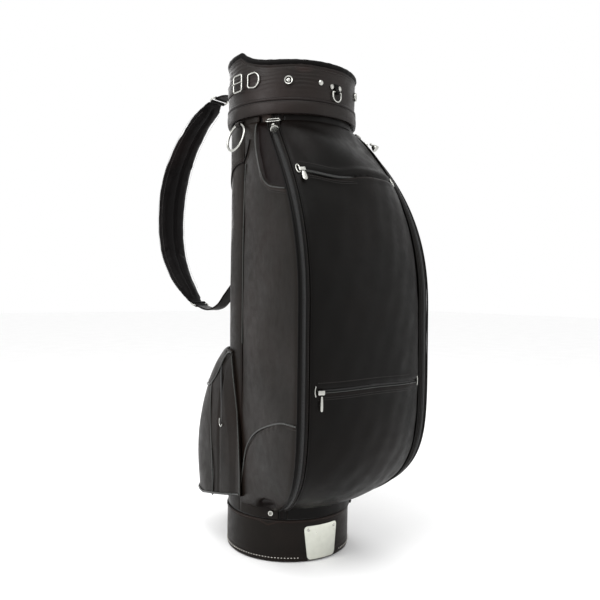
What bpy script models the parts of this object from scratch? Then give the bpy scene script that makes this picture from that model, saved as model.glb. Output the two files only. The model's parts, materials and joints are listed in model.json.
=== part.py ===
"""Golf staff bag: base, club tube with six cells, cuff, pockets, shoulder strap and their metal fittings.

Metres, +Z up. The origin is the centre of the base's underside. The big front pocket faces -Y, the
shoulder strap hangs at the spine on +Y, and -X is the bag's left. Angles round the bag are measured
from +X towards +Y, in degrees. Run with: blender --background --python part.py
"""

import math

import bmesh
import bpy
import numpy as np
from mathutils import Matrix, Vector

GAP = 0.0003  # between pieces that touch

# Club tube and base
TUBE_R = 0.115
TUBE_WALL = 0.0023
TUBE_TOP_Z = 0.893
CUP_FLOOR = 0.006
CUP_WALL = 0.0017
CUP_TOP_Z = 0.0797
CUP_EDGE = 0.002  # the rounding at the foot of the cup
SLEEVE_WALL = 0.0022
SLEEVE_FOOT_Z = 0.0015
SLEEVE_TOP_Z = CUP_TOP_Z - 0.0027
BADGE_ANGLE = 264.0
BADGE_TOP_W = 0.074
BADGE_FOOT_W = 0.060
BADGE_Z = (SLEEVE_FOOT_Z + 0.002, SLEEVE_TOP_Z - 0.012)
BADGE_THICK = 0.0010
BADGE_RIVET_R = 0.0034
BADGE_RIVET_H = 0.0014
BADGE_CORNER = (0.008, 0.005)  # how much the plate narrows at its top, and over what height
BADGE_RIVET_INSET = (0.009, 0.007)  # from the plate's sides and from its top

# Dividers
DIVIDER_TOP_H = 0.023
DIVIDER_RIM_W = 0.0065
DIVIDER_BAR_W = 0.014
DIVIDER_ROW_Y = 0.037
DIVIDER_SHEET = 0.0015
DIVIDER_FOOT_Z = 0.010

# Body skins
SKIN_WALL = 0.003
SKIN_CLEARANCE = 0.0005  # from the club tube to the skin
SKIN_R = TUBE_R + SKIN_CLEARANCE + SKIN_WALL
CUFF_FOOT_Z = TUBE_TOP_Z - 0.077
SKIN_TOP_Z = CUFF_FOOT_Z - 0.0005
SEAM_ANGLE = -3.0  # where the spine panel meets the side panels

# Front and side pockets: half widths and depths of their two long edges, at the top, the fullest
# height and the foot
POCKET_TOP_Z = SKIN_TOP_Z - 0.0105
WIDEST_Z = 0.46
SKIN_FOOT_Z = CUP_TOP_Z + 0.0008
POCKET_FOOT_Z = SKIN_FOOT_Z + 0.0175
SIDE_TOP_ANGLE = 33.0  # where the pocket's edges start on the round skin, from the side towards the front
FRONT_TOP_ANGLE = 44.0
SIDE_FOOT_ANGLE = 44.0
FRONT_FOOT_ANGLE = 51.7
SIDE_FOOT_R = 1.0565 * SKIN_R
FRONT_FOOT_R = 1.0422 * SKIN_R


def plan_corner(radius, angle):
    """Half width and depth of a plan point at an angle from the bag's side towards its front."""
    turn = math.radians(angle)
    return radius * math.cos(turn), radius * math.sin(turn)


EDGE_TOP_R = SKIN_R + 0.0002
SIDE_EDGE = (plan_corner(EDGE_TOP_R, SIDE_TOP_ANGLE), (SKIN_R + 0.0365, SKIN_R + 0.1025),
             plan_corner(SIDE_FOOT_R, SIDE_FOOT_ANGLE))
FRONT_EDGE = (plan_corner(EDGE_TOP_R, FRONT_TOP_ANGLE), (SKIN_R + 0.0125, SKIN_R + 0.1035),
              plan_corner(FRONT_FOOT_R, FRONT_FOOT_ANGLE))
FRONT_CROWN = (EDGE_TOP_R - FRONT_EDGE[0][1], 0.022, FRONT_FOOT_R - FRONT_EDGE[2][1])
SIDE_BOW = 0.0505 * SKIN_R  # enough for the panel to pass round the tube at its top and its foot
GUSSET_BOW = 0.0211 * SKIN_R
SIDE_COLUMNS = 6
GUSSET_COLUMNS = 3
FRONT_COLUMNS = 7
PARTITION = 0.0012
PARTITION_Z = (0.125, TUBE_TOP_Z - 0.143)
PARTITION_ANGLE = -50.0
PARTITION_TUBE_CLEARANCE = 0.002
PARTITION_SKIN_CLEARANCE = 0.004
SHELF_Z = 0.356
SHELF_TUBE_CLEARANCE = 0.001

# Rear pocket
REAR_HALF_W = SKIN_R + 0.0095
REAR_DEPTH = SKIN_R + 0.0815
REAR_SQUARENESS = 4.0
REAR_FOOT_Z = SKIN_FOOT_Z
REAR_FULL_Z = REAR_FOOT_Z + 0.1095
REAR_TOP_Z = TUBE_TOP_Z - 0.513
REAR_WALL = 0.0025
REAR_LIP = 0.038 * SKIN_R  # how far the pocket's edge stands off the skin, to clear the side panel's line
REAR_END_ANGLE = -9.0

# Cuff
CUFF_WALL = 0.0030
COLLAR_WALL = 0.0035
COLLAR_CLEARANCE = 0.0027  # from the club tube to the collar
CUFF_R = TUBE_R + COLLAR_CLEARANCE + COLLAR_WALL + GAP + CUFF_WALL
COLLAR_TOP_H = 0.005
RIM_FRONT_Z = TUBE_TOP_Z + 0.021
RIM_REAR_Z = TUBE_TOP_Z + 0.0465
RIM_ROLL_R = 0.0042
RIM_STEP = (-0.07, -0.31)  # sine of the angle where the rim has risen, and where it starts to rise
BAND_TOP_Z = CUFF_FOOT_Z + 0.029
BAND_WALL = 0.0015

# Cuff belt and fittings
BELT_Z = TUBE_TOP_Z - 0.0115
BELT_H = 0.024
BELT_THICK = 0.0022
BELT_END_ANGLE = -10.0
BUCKLE_ANGLE = 180.5
BUCKLE_W = 0.026
BUCKLE_H = 0.031
BUCKLE_WIRE = 0.0015
BUCKLE_LIFT = 0.0016  # room under the buckle for its prong's curl
PRONG_WIRE = 0.0010
KEEPER_ANGLE = 197.0
KEEPER_W = 0.024
KEEPER_H = 0.028
KEEPER_WIRE = 0.0014
SNAP_ANGLES = {"left": 229.0, "right": 311.0}
SNAP_Z = TUBE_TOP_Z - 0.0175
SNAP_R = 0.0083
SNAP_H = 0.0042
RIVETS = ((256.8, TUBE_TOP_Z - 0.018), (268.2, TUBE_TOP_Z - 0.0215), (277.0, TUBE_TOP_Z - 0.0215))
RIVET_R = 0.0046
RIVET_H = 0.0022
TOWEL_ANGLE = 272.6
TOWEL_TOP_Z = TUBE_TOP_Z - 0.0305
TOWEL_RING_R = 0.0098
TOWEL_WIRE = 0.0014
TOWEL_TAB = (0.0092, 0.015, 0.0018)

# Side rings
SIDE_RING_Z = SKIN_TOP_Z - 0.0095
SIDE_TAB_LIFT = 0.0022  # the tab clears the panel's bow
SIDE_RING_R = 0.0261
SIDE_RING_WIRE = 0.00225
SIDE_RING_TILT = 14.0
SIDE_TAB = (0.012, 0.0065, 0.0020)
SIDE_ANGLES = {"left": 180.0, "right": 0.0}

# Zips
SLIDER = (0.0125, 0.0085, 0.0040)
SLIDER_LIFT = 0.0008
UPPER_ZIP_Z = TUBE_TOP_Z - 0.193
UPPER_ZIP_HALF_W = SKIN_R - 0.011
UPPER_PULL = (0.0085, 0.0190, 0.0018)
LOWER_ZIP_Z = 0.330
LOWER_ZIP_HALF_W = SKIN_R - 0.0065
LOWER_PULL = (0.0046, 0.0250, 0.0018)
PULL_LIFT = 0.0022  # the hinge's height over the slider's middle plane
SIDE_RING_END_Z = SKIN_TOP_Z - 0.0145
SIDE_END_W = 0.027
SIDE_END_H = 0.013
SIDE_END_WIRE = 0.0011
SIDE_ZIP_Z = SKIN_TOP_Z - 0.029
BELL_LIFT = 0.0088
BELL = ((0.0, 0.0), (0.0022, -0.0010), (0.0026, -0.0034), (0.0018, -0.0056), (0.0048, -0.0090),
        (0.0070, -0.0160), (0.0072, -0.0185), (0.0, -0.0185))
REAR_ZIP_ANGLE = 23.0
REAR_ZIP_Z = REAR_FULL_Z + 0.221 * (REAR_TOP_Z - REAR_FULL_Z)
REAR_PULL = (0.0040, 0.0170, 0.0016)

# Shoulder strap: it swings about a vertical line behind the spine and hangs a little to the left
STRAP_CLEARANCE = 0.0105  # from the belt to the line that the strap turns on
STRAP_LINE_Y = CUFF_R + GAP + BELT_THICK + STRAP_CLEARANCE
LOWER_ANCHOR_Z = BELT_Z - 0.3515
STRAP_ANGLE = 102.0
STRAP_SHAPE = ((0.112, 0.0375), (0.134, 0.0210), (0.175, -0.0095), (0.219, -0.0615), (0.249, -0.1195),
               (0.2645, -0.1815), (0.2665, -0.2415), (0.2560, -0.3015), (0.231, -0.3515), (0.200, -0.3885),
               (0.1700, -0.4165))
STRAP_ROUTE = tuple((distance, BELT_Z + height) for distance, height in STRAP_SHAPE)
STRAP_WIDTH = 0.087
STRAP_END_WIDTH = 0.040
STRAP_THICK = 0.022
STRAP_END_THICK = 0.007
LINK_WIRE = 0.0016
LINK_W = 0.046
ANCHOR_WIRE = 0.0017
ANCHOR_H = 0.022
TAB_W = 0.034
TAB_NECK_W = 0.008
TAB_THICK = 0.0036
SLEEVE_H = 0.014
SLEEVE_THICK = 0.0028
UPPER_TAB_SHAPE = ((0.0032, 0.0), (0.018, 0.0075), (0.038, 0.0265), (0.066, 0.0430), (0.0975, 0.0440))
UPPER_TAB_ROUTE = tuple((distance, BELT_Z + height) for distance, height in UPPER_TAB_SHAPE)
LOWER_TAB_SHAPE = ((0.0032, 0.0), (0.018, -0.006), (0.042, -0.022), (0.066, -0.046), (0.090, -0.070),
                   (0.120, -0.0800), (0.1562, -0.0729))
LOWER_TAB_ROUTE = tuple((distance, LOWER_ANCHOR_Z + height) for distance, height in LOWER_TAB_SHAPE)

RADIAL_STEPS = 48

for old in list(bpy.data.objects):
    bpy.data.objects.remove(old, do_unlink=True)
PARTS = bpy.data.collections.new("golf_staff_bag")
bpy.context.scene.collection.children.link(PARTS)
CUTTERS = bpy.data.collections.new("golf_staff_bag_cutters")
bpy.context.scene.collection.children.link(CUTTERS)


# ---------------------------------------------------------------- materials and small tools


def make_material(name, colour, roughness, metallic=0.0):
    """A plain Principled material."""
    material = bpy.data.materials.new(name)
    material.use_nodes = True
    shader = material.node_tree.nodes["Principled BSDF"]
    shader.inputs["Base Color"].default_value = (*colour, 1.0)
    shader.inputs["Roughness"].default_value = roughness
    shader.inputs["Metallic"].default_value = metallic
    material.diffuse_color = (*colour, 1.0)
    return material


LEATHER = make_material("body_leather", (0.030, 0.022, 0.020), 0.42)
DARK_LEATHER = make_material("front_leather", (0.016, 0.013, 0.012), 0.40)
STRAP_LEATHER = make_material("strap_leather", (0.020, 0.013, 0.012), 0.50)
PADDING = make_material("rim_padding", (0.010, 0.009, 0.009), 0.55)
NICKEL = make_material("nickel", (0.80, 0.79, 0.75), 0.18, 1.0)
PLATE_STEEL = make_material("badge_steel", (0.78, 0.78, 0.74), 0.30, 1.0)
BASE_PLASTIC = make_material("base_plastic", (0.012, 0.012, 0.012), 0.55)
TUBE_BOARD = make_material("tube_board", (0.030, 0.030, 0.030), 0.70)
LINING = make_material("lining", (0.045, 0.030, 0.024), 0.80)


def add(name, mesh, material, smooth=40.0):
    """Links a mesh as a named part and shades it smooth up to an angle in degrees."""
    mesh.materials.clear()
    mesh.materials.append(material)
    mesh.shade_smooth()
    mesh.set_sharp_from_angle(angle=math.radians(smooth))
    obj = bpy.data.objects.new(name, mesh)
    PARTS.objects.link(obj)
    return obj


def outward(angle):
    """The unit vector that points away from the bag's axis at this angle."""
    turn = math.radians(angle)
    return Vector((math.cos(turn), math.sin(turn), 0.0))


def facing(normal, up, point):
    """A matrix at a point with local +Z along the normal, and local +Y as near to up as that allows."""
    z_axis = normal.normalized()
    x_axis = up.cross(z_axis).normalized()
    y_axis = z_axis.cross(x_axis)
    matrix = Matrix((x_axis, y_axis, z_axis)).transposed().to_4x4()
    matrix.translation = point
    return matrix


def on_round(angle, radius, height):
    """The matrix of a flat piece on the round bag: local X is sideways, Y is up, Z is outward."""
    normal = outward(angle)
    return facing(normal, Vector((0, 0, 1)), normal * radius + Vector((0, 0, height)))


def turned(name, profile, material, matrix=None, closed=True, steps=RADIAL_STEPS):
    """A profile of (radius, height) points, which runs down its outer side, spun about local Z."""
    mesh = bpy.data.meshes.new(name)
    count = len(profile)
    edges = [(i, i + 1) for i in range(count - 1)]
    if closed:
        edges.append((count - 1, 0))
    mesh.from_pydata([(radius, 0.0, height) for radius, height in profile], edges, [])
    obj = add(name, mesh, material)
    screw = obj.modifiers.new("Turn", "SCREW")
    screw.steps = steps
    screw.render_steps = steps
    screw.use_merge_vertices = True
    screw.merge_threshold = 0.00001
    obj.matrix_world = matrix or Matrix.Identity(4)
    return obj


def hoop(name, inner, outer, low, high, material):
    """A plain upright ring."""
    profile = ((outer, high), (outer, low), (inner, low), (inner, high))
    return turned(name, profile, material)


def block(name, size, matrix, material, bevel=0.0):
    """A box centred on its matrix, with rounded edges."""
    mesh = bpy.data.meshes.new(name)
    cage = bmesh.new()
    bmesh.ops.create_cube(cage, size=1.0, matrix=Matrix.Diagonal((*size, 1.0)))
    cage.to_mesh(mesh)
    cage.free()
    obj = add(name, mesh, material)
    obj.matrix_world = matrix
    if bevel:
        edge = obj.modifiers.new("Edges", "BEVEL")
        edge.width = bevel
        edge.segments = 2
    return obj


def stud(name, radius, height, matrix, material):
    """A low round head with a softened edge, standing on its matrix."""
    profile = ((0.0, height), (radius * 0.62, height * 0.92), (radius * 0.92, height * 0.55),
               (radius, 0.0), (0.0, 0.0))
    return turned(name, profile, material, matrix, closed=False, steps=16)


def wire(name, points, radius, material, cyclic=False, matrix=None, sides=2):
    """A round wire along points."""
    curve = bpy.data.curves.new(name, "CURVE")
    curve.dimensions = "3D"
    curve.bevel_depth = radius
    curve.bevel_resolution = sides
    curve.use_fill_caps = not cyclic
    spline = curve.splines.new("POLY")
    spline.points.add(len(points) - 1)
    for slot, point in zip(spline.points, points):
        slot.co = (*point, 1.0)
    spline.use_cyclic_u = cyclic
    curve.materials.append(material)
    obj = bpy.data.objects.new(name, curve)
    PARTS.objects.link(obj)
    obj.matrix_world = matrix or Matrix.Identity(4)
    return obj


def ring(name, major, minor, matrix, material, steps=(32, 8)):
    """A torus in the local XY plane."""
    bpy.ops.mesh.primitive_torus_add(
        major_radius=major, minor_radius=minor, major_segments=steps[0], minor_segments=steps[1])
    made = bpy.context.object
    mesh = made.data
    bpy.data.objects.remove(made, do_unlink=True)
    mesh.name = name
    obj = add(name, mesh, material)
    obj.matrix_world = matrix
    return obj


def flat(name, outline, thickness, material, matrix, holes=()):
    """A flat outline in the local XY plane, with holes, centred on it in thickness."""
    curve = bpy.data.curves.new(name, "CURVE")
    curve.dimensions = "2D"
    curve.fill_mode = "BOTH"
    curve.extrude = thickness / 2
    for loop in (outline, *holes):
        spline = curve.splines.new("POLY")
        spline.points.add(len(loop) - 1)
        for slot, point in zip(spline.points, loop):
            slot.co = (point[0], point[1], 0.0, 1.0)
        spline.use_cyclic_u = True
    curve.materials.append(material)
    obj = bpy.data.objects.new(name, curve)
    PARTS.objects.link(obj)
    obj.matrix_world = matrix
    return obj


def arc(centre, radius, start, end, count):
    """Points along an arc, with angles in degrees."""
    angles = np.radians(np.linspace(start, end, count))
    return [(centre[0] + radius * math.cos(a), centre[1] + radius * math.sin(a)) for a in angles]


def rounded(width, height, radius, steps=3):
    """The outline of a rectangle with round corners, about the origin."""
    points = []
    for sign_x, sign_y, start in ((1, 1, 0), (-1, 1, 90), (-1, -1, 180), (1, -1, 270)):
        corner = (sign_x * (width / 2 - radius), sign_y * (height / 2 - radius))
        points += arc(corner, radius, start, start + 90, steps)
    return points


def normals_of(grid):
    """Unit normals of a grid of points, from the cross product of its two directions."""
    across = np.gradient(grid, axis=1)
    along = np.gradient(grid, axis=0)
    normal = np.cross(across, along)
    return normal / np.linalg.norm(normal, axis=2, keepdims=True)


def loft(name, outer, inner, material):
    """A closed wall between two grids of points (rows, columns), outer first."""
    rows, columns = outer.shape[:2]
    points = np.concatenate([outer.reshape(-1, 3), inner.reshape(-1, 3)])
    index = np.arange(2 * rows * columns).reshape(2, rows, columns)
    faces = []

    def sheet(a, b, c, d):
        faces.extend(np.stack([a, b, c, d], axis=-1).reshape(-1, 4).tolist())

    front, back = index
    sheet(front[:-1, :-1], front[:-1, 1:], front[1:, 1:], front[1:, :-1])
    sheet(back[:-1, :-1], back[1:, :-1], back[1:, 1:], back[:-1, 1:])
    sheet(front[0, 1:], front[0, :-1], back[0, :-1], back[0, 1:])
    sheet(front[-1, :-1], front[-1, 1:], back[-1, 1:], back[-1, :-1])
    sheet(front[:-1, 0], front[1:, 0], back[1:, 0], back[:-1, 0])
    sheet(front[1:, -1], front[:-1, -1], back[:-1, -1], back[1:, -1])
    mesh = bpy.data.meshes.new(name)
    mesh.from_pydata(points.tolist(), [], faces)
    cage = bmesh.new()
    cage.from_mesh(mesh)
    bmesh.ops.recalc_face_normals(cage, faces=cage.faces)
    cage.to_mesh(mesh)
    cage.free()
    return add(name, mesh, material)


def trimmed(grid, amount):
    """The grid with its first and last columns drawn in, which leaves a seam."""
    grid = grid.copy()
    for edge, beside in ((0, 1), (-1, -2)):
        step = grid[:, beside] - grid[:, edge]
        grid[:, edge] += amount * step / np.linalg.norm(step, axis=1, keepdims=True)
    return grid


def cylinder_wall(angles, heights_low, heights_high, radius, wall, name, material):
    """Part of a round wall, whose foot and top may vary with the angle."""
    turn = np.radians(angles)
    low = np.broadcast_to(heights_low, turn.shape)
    high = np.broadcast_to(heights_high, turn.shape)

    def grid(r):
        return np.stack([np.stack([r * np.cos(turn), r * np.sin(turn), z], axis=-1)
                         for z in (low, high)])

    return loft(name, grid(radius), grid(radius - wall), material)


def empty(name, point, children):
    """An empty on a joint's axis, which carries the pieces that turn or slide there."""
    holder = bpy.data.objects.new(name, None)
    holder.empty_display_size = 0.02
    holder.matrix_world = Matrix.Translation(point)
    PARTS.objects.link(holder)
    bpy.context.view_layer.update()
    for child in children:
        kept = child.matrix_world.copy()
        child.parent = holder
        child.matrix_parent_inverse = Matrix.Translation(-Vector(point))
        child.matrix_basis = kept
    return holder


# ---------------------------------------------------------------- shape of the pockets


def fullness(z):
    """0 on the round body and 1 at the pocket's fullest height."""
    up = np.clip((z - WIDEST_Z) / (POCKET_TOP_Z - WIDEST_Z), 0.0, 1.0)
    down = np.clip((WIDEST_Z - z) / (WIDEST_Z - POCKET_FOOT_Z), 0.0, 1.0)
    return np.where(z > WIDEST_Z, 1 - up ** 2.3, (1 - down ** 6.5) ** 0.88)


def between(z, values, upper_power=1.0, lower_power=1.0):
    """A size given at the top, the fullest height and the foot, carried along the fullness."""
    share = fullness(z)
    top, full, foot = values
    upper = top + (full - top) * share ** upper_power
    lower = foot + (full - foot) * share ** lower_power
    return np.where(z > WIDEST_Z, upper, lower)


def side_edge(z):
    """Half width and depth of the side panel's front edge."""
    x = between(z, [point[0] for point in SIDE_EDGE], 0.5, 0.9)
    return x, between(z, [point[1] for point in SIDE_EDGE])


def front_edge(z):
    """Half width and depth of the front panel's edge."""
    x = between(z, [point[0] for point in FRONT_EDGE], 0.4, 0.6)
    return x, between(z, [point[1] for point in FRONT_EDGE])


def front_arc(z):
    """Radius and centre, on the Y axis, of the front panel's plan arc."""
    half, depth = front_edge(z)
    crown = between(z, FRONT_CROWN)
    radius = (half ** 2 + crown ** 2) / (2 * crown)
    return radius, radius - depth - crown


def bowed(start, end, share, bow):
    """A point between two plan points, pushed out sideways by a sine bow."""
    x = start[0] + (end[0] - start[0]) * share
    y = start[1] + (end[1] - start[1]) * share
    run = np.hypot(end[0] - start[0], end[1] - start[1])
    push = bow * np.sin(np.pi * share) / run
    return x - (end[1] - start[1]) * push, y + (end[0] - start[0]) * push


def skin_half(z):
    """Plan points of the bag's right half at the heights z, from the spine seam to the front centre."""
    seam = outward(SEAM_ANGLE) * SKIN_R
    seam_x = np.full_like(z, seam.x)
    seam_y = np.full_like(z, seam.y)
    side_x, side_y = side_edge(z)
    front_x, front_y = front_edge(z)
    radius, centre = front_arc(z)
    lines = []
    for share in np.linspace(0, 1, SIDE_COLUMNS)[:-1]:
        lines.append(bowed((seam_x, seam_y), (side_x, -side_y), share, SIDE_BOW))
    for share in np.linspace(0, 1, GUSSET_COLUMNS)[:-1]:
        lines.append(bowed((side_x, -side_y), (front_x, -front_y), share, GUSSET_BOW))
    swing = np.arcsin(front_x / radius)
    for share in np.linspace(1, 0, FRONT_COLUMNS):
        lines.append((radius * np.sin(swing * share), centre - radius * np.cos(swing * share)))
    return np.array(lines)


def skin_rows():
    """Heights of the skin's rows, closer together where the foot curls under."""
    foot = np.sin(np.linspace(0.5 * math.pi, 0, 10))
    lower = np.concatenate([[SKIN_FOOT_Z], WIDEST_Z - (WIDEST_Z - POCKET_FOOT_Z) * foot])
    upper = np.linspace(WIDEST_Z, POCKET_TOP_Z, 9)[1:]
    return np.concatenate([lower, upper, [SKIN_TOP_Z]])


def skin_grid(z):
    """Points (rows, columns) of the outer skin from the right spine seam, round the front, to the left."""
    half = skin_half(z)
    x = np.concatenate([half[:, 0], -half[-2::-1, 0]])
    y = np.concatenate([half[:, 1], half[-2::-1, 1]])
    heights = np.broadcast_to(z, x.shape)
    return np.stack([x, y, heights], axis=-1).transpose(1, 0, 2)


def surface_frame(column_share, z, lift):
    """The matrix of a flat piece on the front panel: column_share runs from -1 at the left edge to 1."""
    def point(share, height):
        radius, centre = front_arc(height)
        swing = np.arcsin(front_edge(height)[0] / radius) * share
        return Vector((radius * math.sin(swing), centre - radius * math.cos(swing), float(height)))

    step = 0.002
    here = point(column_share, np.array(z))
    up = point(column_share, np.array(z + step)) - point(column_share, np.array(z - step))
    side = point(column_share + 0.01, np.array(z)) - point(column_share - 0.01, np.array(z))
    normal = side.cross(up).normalized()
    return facing(normal, up, here + normal * lift)


def rear_fullness(z):
    """0 at the rear pocket's top and 1 at its fullest height, a little less at its foot."""
    up = np.clip((z - REAR_FULL_Z) / (REAR_TOP_Z - REAR_FULL_Z), 0.0, 1.0)
    down = np.clip((REAR_FULL_Z - z) / (REAR_FULL_Z - REAR_FOOT_Z), 0.0, 1.0)
    return (1 - up ** 2.0) ** 0.8 * (1 - 0.04 * down ** 2)


def rear_radius(angle, z):
    """Distance of the rear pocket's outer face from the bag's axis."""
    turn = np.radians(angle)
    power = REAR_SQUARENESS
    full = ((np.abs(np.cos(turn)) / REAR_HALF_W) ** power
            + (np.clip(np.sin(turn), 0, None) / REAR_DEPTH) ** power) ** (-1 / power)
    base = SKIN_R + GAP + REAR_WALL + REAR_LIP
    return base + (full - base) * rear_fullness(z)


# ---------------------------------------------------------------- base and club tube


def make_base():
    """The moulded cup, its leather sleeve and the riveted badge plate."""
    cup_in = TUBE_R + GAP
    cup_out = cup_in + CUP_WALL
    turned("base_cup", ((cup_out, CUP_TOP_Z), (cup_out, CUP_EDGE), (cup_out - CUP_EDGE, 0.0), (0.0, 0.0),
                        (0.0, CUP_FLOOR), (cup_in, CUP_FLOOR), (cup_in, CUP_TOP_Z)), BASE_PLASTIC)
    sleeve_in = cup_out + GAP
    sleeve_out = sleeve_in + SLEEVE_WALL
    hoop("base_sleeve", sleeve_in, sleeve_out, SLEEVE_FOOT_Z, SLEEVE_TOP_Z, LEATHER)

    plate_in = sleeve_out + GAP
    plate_out = plate_in + BADGE_THICK
    share = np.linspace(-0.5, 0.5, 13)
    low, high = BADGE_Z

    def plate(radius):
        rows = []
        for z, width in ((low, BADGE_FOOT_W), (high - BADGE_CORNER[1], BADGE_TOP_W),
                         (high, BADGE_TOP_W - BADGE_CORNER[0])):
            turn = math.radians(BADGE_ANGLE) + share * width / plate_out
            rows.append(np.stack([radius * np.cos(turn), radius * np.sin(turn),
                                  np.full_like(turn, z)], axis=-1))
        return np.stack(rows)

    loft("badge_plate", plate(plate_out), plate(plate_in), PLATE_STEEL)
    for side, sign in (("left", -1), ("right", 1)):
        spread = math.degrees((BADGE_TOP_W / 2 - BADGE_RIVET_INSET[0]) / plate_out)
        matrix = on_round(BADGE_ANGLE + sign * spread, plate_out + GAP, high - BADGE_RIVET_INSET[1])
        stud("badge_rivet_" + side, BADGE_RIVET_R, BADGE_RIVET_H, matrix, NICKEL)
    return sleeve_out


def make_club_tube():
    """The stiff tube, the padded six-way top and the full-length divider sheets."""
    hoop("club_tube", TUBE_R - TUBE_WALL, TUBE_R, CUP_FLOOR + GAP, TUBE_TOP_Z, TUBE_BOARD)
    rim_out = TUBE_R - TUBE_WALL - GAP
    rim_in = rim_out - DIVIDER_RIM_W
    top_low = TUBE_TOP_Z - DIVIDER_TOP_H
    bar_z = (top_low + TUBE_TOP_Z) / 2

    top = hoop("divider_top", rim_in, rim_out, top_low, TUBE_TOP_Z, PADDING)
    reach = rim_in + DIVIDER_RIM_W / 2
    row_reach = math.sqrt(reach ** 2 - (DIVIDER_ROW_Y + DIVIDER_BAR_W / 2) ** 2)
    bars = (("row_front", (2 * row_reach, DIVIDER_BAR_W), -DIVIDER_ROW_Y),
            ("row_rear", (2 * row_reach, DIVIDER_BAR_W), DIVIDER_ROW_Y),
            ("centre", (DIVIDER_BAR_W, 2 * reach), 0.0))
    for name, (width, depth), y in bars:
        bar = block("divider_bar_" + name, (width, depth, DIVIDER_TOP_H - 0.002),
                    Matrix.Translation((0, y, bar_z)), PADDING, 0.003)
        PARTS.objects.unlink(bar)
        CUTTERS.objects.link(bar)
        bar.hide_render = True
        bar.display_type = "WIRE"
        join = top.modifiers.new("Join " + name, "BOOLEAN")
        join.operation = "UNION"
        join.object = bar

    sheet_top = top_low - GAP
    height = sheet_top - DIVIDER_FOOT_Z
    z = (sheet_top + DIVIDER_FOOT_Z) / 2
    inside = TUBE_R - TUBE_WALL - 2 * GAP
    half = math.sqrt(inside ** 2 - (DIVIDER_ROW_Y + DIVIDER_SHEET / 2) ** 2)
    for name, y in (("divider_wall_front", -DIVIDER_ROW_Y), ("divider_wall_rear", DIVIDER_ROW_Y)):
        block(name, (2 * half, DIVIDER_SHEET, height), Matrix.Translation((0, y, z)), LINING)
    middle = 2 * DIVIDER_ROW_Y - DIVIDER_SHEET - 2 * GAP
    block("divider_centre_middle", (DIVIDER_SHEET, middle, height), Matrix.Translation((0, 0, z)), LINING)
    start = DIVIDER_ROW_Y + DIVIDER_SHEET / 2 + GAP
    for name, sign in (("divider_centre_front", -1), ("divider_centre_rear", 1)):
        block(name, (DIVIDER_SHEET, inside - start, height),
              Matrix.Translation((0, sign * (inside + start) / 2, z)), LINING)


# ---------------------------------------------------------------- body panels and pockets


def make_body():
    """The spine panel, the two side panels, the gussets with the long zips and the front panel."""
    angles = np.linspace(SEAM_ANGLE, 180 - SEAM_ANGLE, 41)
    angles[0] += math.degrees(GAP / SKIN_R)
    angles[-1] -= math.degrees(GAP / SKIN_R)
    cylinder_wall(angles, SKIN_FOOT_Z, SKIN_TOP_Z, SKIN_R, SKIN_WALL, "spine_panel", LEATHER)

    outer = skin_grid(skin_rows())
    normal = normals_of(outer)
    if normal[len(normal) // 2, outer.shape[1] // 2, 1] > 0:
        normal = -normal
    normal[:, 0] = outward(SEAM_ANGLE)
    normal[:, -1] = outward(180 - SEAM_ANGLE)
    inner = outer - SKIN_WALL * normal
    side_end = SIDE_COLUMNS - 1
    gusset_end = side_end + GUSSET_COLUMNS - 1
    last = outer.shape[1] - 1
    panels = (("side_panel_right", 0, side_end, LEATHER),
              ("gusset_right", side_end, gusset_end, DARK_LEATHER),
              ("front_panel", gusset_end, last - gusset_end, DARK_LEATHER),
              ("gusset_left", last - gusset_end, last - side_end, DARK_LEATHER),
              ("side_panel_left", last - side_end, last, LEATHER))
    for name, start, end, material in panels:
        columns = slice(start, end + 1)
        loft(name, trimmed(outer[:, columns], GAP), trimmed(inner[:, columns], GAP), material)


def make_partitions():
    """Inner walls that part the side pockets from the front ones, and the shelf between those two."""
    z = np.linspace(*PARTITION_Z, 12)
    front_x, front_y = front_edge(z)
    root = outward(PARTITION_ANGLE) * (TUBE_R + PARTITION_TUBE_CLEARANCE)
    clear = SKIN_WALL + PARTITION_SKIN_CLEARANCE
    run_x = front_x - root.x
    run_y = -front_y - root.y
    run = np.hypot(run_x, run_y)
    end_x = front_x - run_x / run * clear - 0.002
    end_y = -front_y - run_y / run * clear
    for side, sign in (("right", 1), ("left", -1)):
        def grid(push):
            columns = []
            for share in (0.0, 0.5, 1.0):
                x = root.x + (end_x - root.x) * share - push * run_y / run
                y = root.y + (end_y - root.y) * share + push * run_x / run
                columns.append(np.stack([sign * x, y, z], axis=-1))
            return np.stack(columns, axis=1)

        loft("pocket_wall_" + side, grid(0.0), grid(PARTITION), LINING)

    height = np.array(SHELF_Z)
    radius, centre = front_arc(height)
    inset = radius - SKIN_WALL - 0.0012
    shelf_x = float(np.interp(SHELF_Z, z, end_x)) - 0.004
    swing = math.degrees(math.asin(shelf_x / inset))
    reach = TUBE_R + SHELF_TUBE_CLEARANCE
    tube_swing = 90 + PARTITION_ANGLE - 3.0
    outline = arc((0, float(centre)), float(inset), -90 - swing, -90 + swing, 15)
    outline += arc((0, 0), reach, -90 + tube_swing, -90 - tube_swing, 15)
    flat("pocket_shelf", outline, PARTITION, LINING, Matrix.Translation((0, 0, SHELF_Z)))


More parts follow.
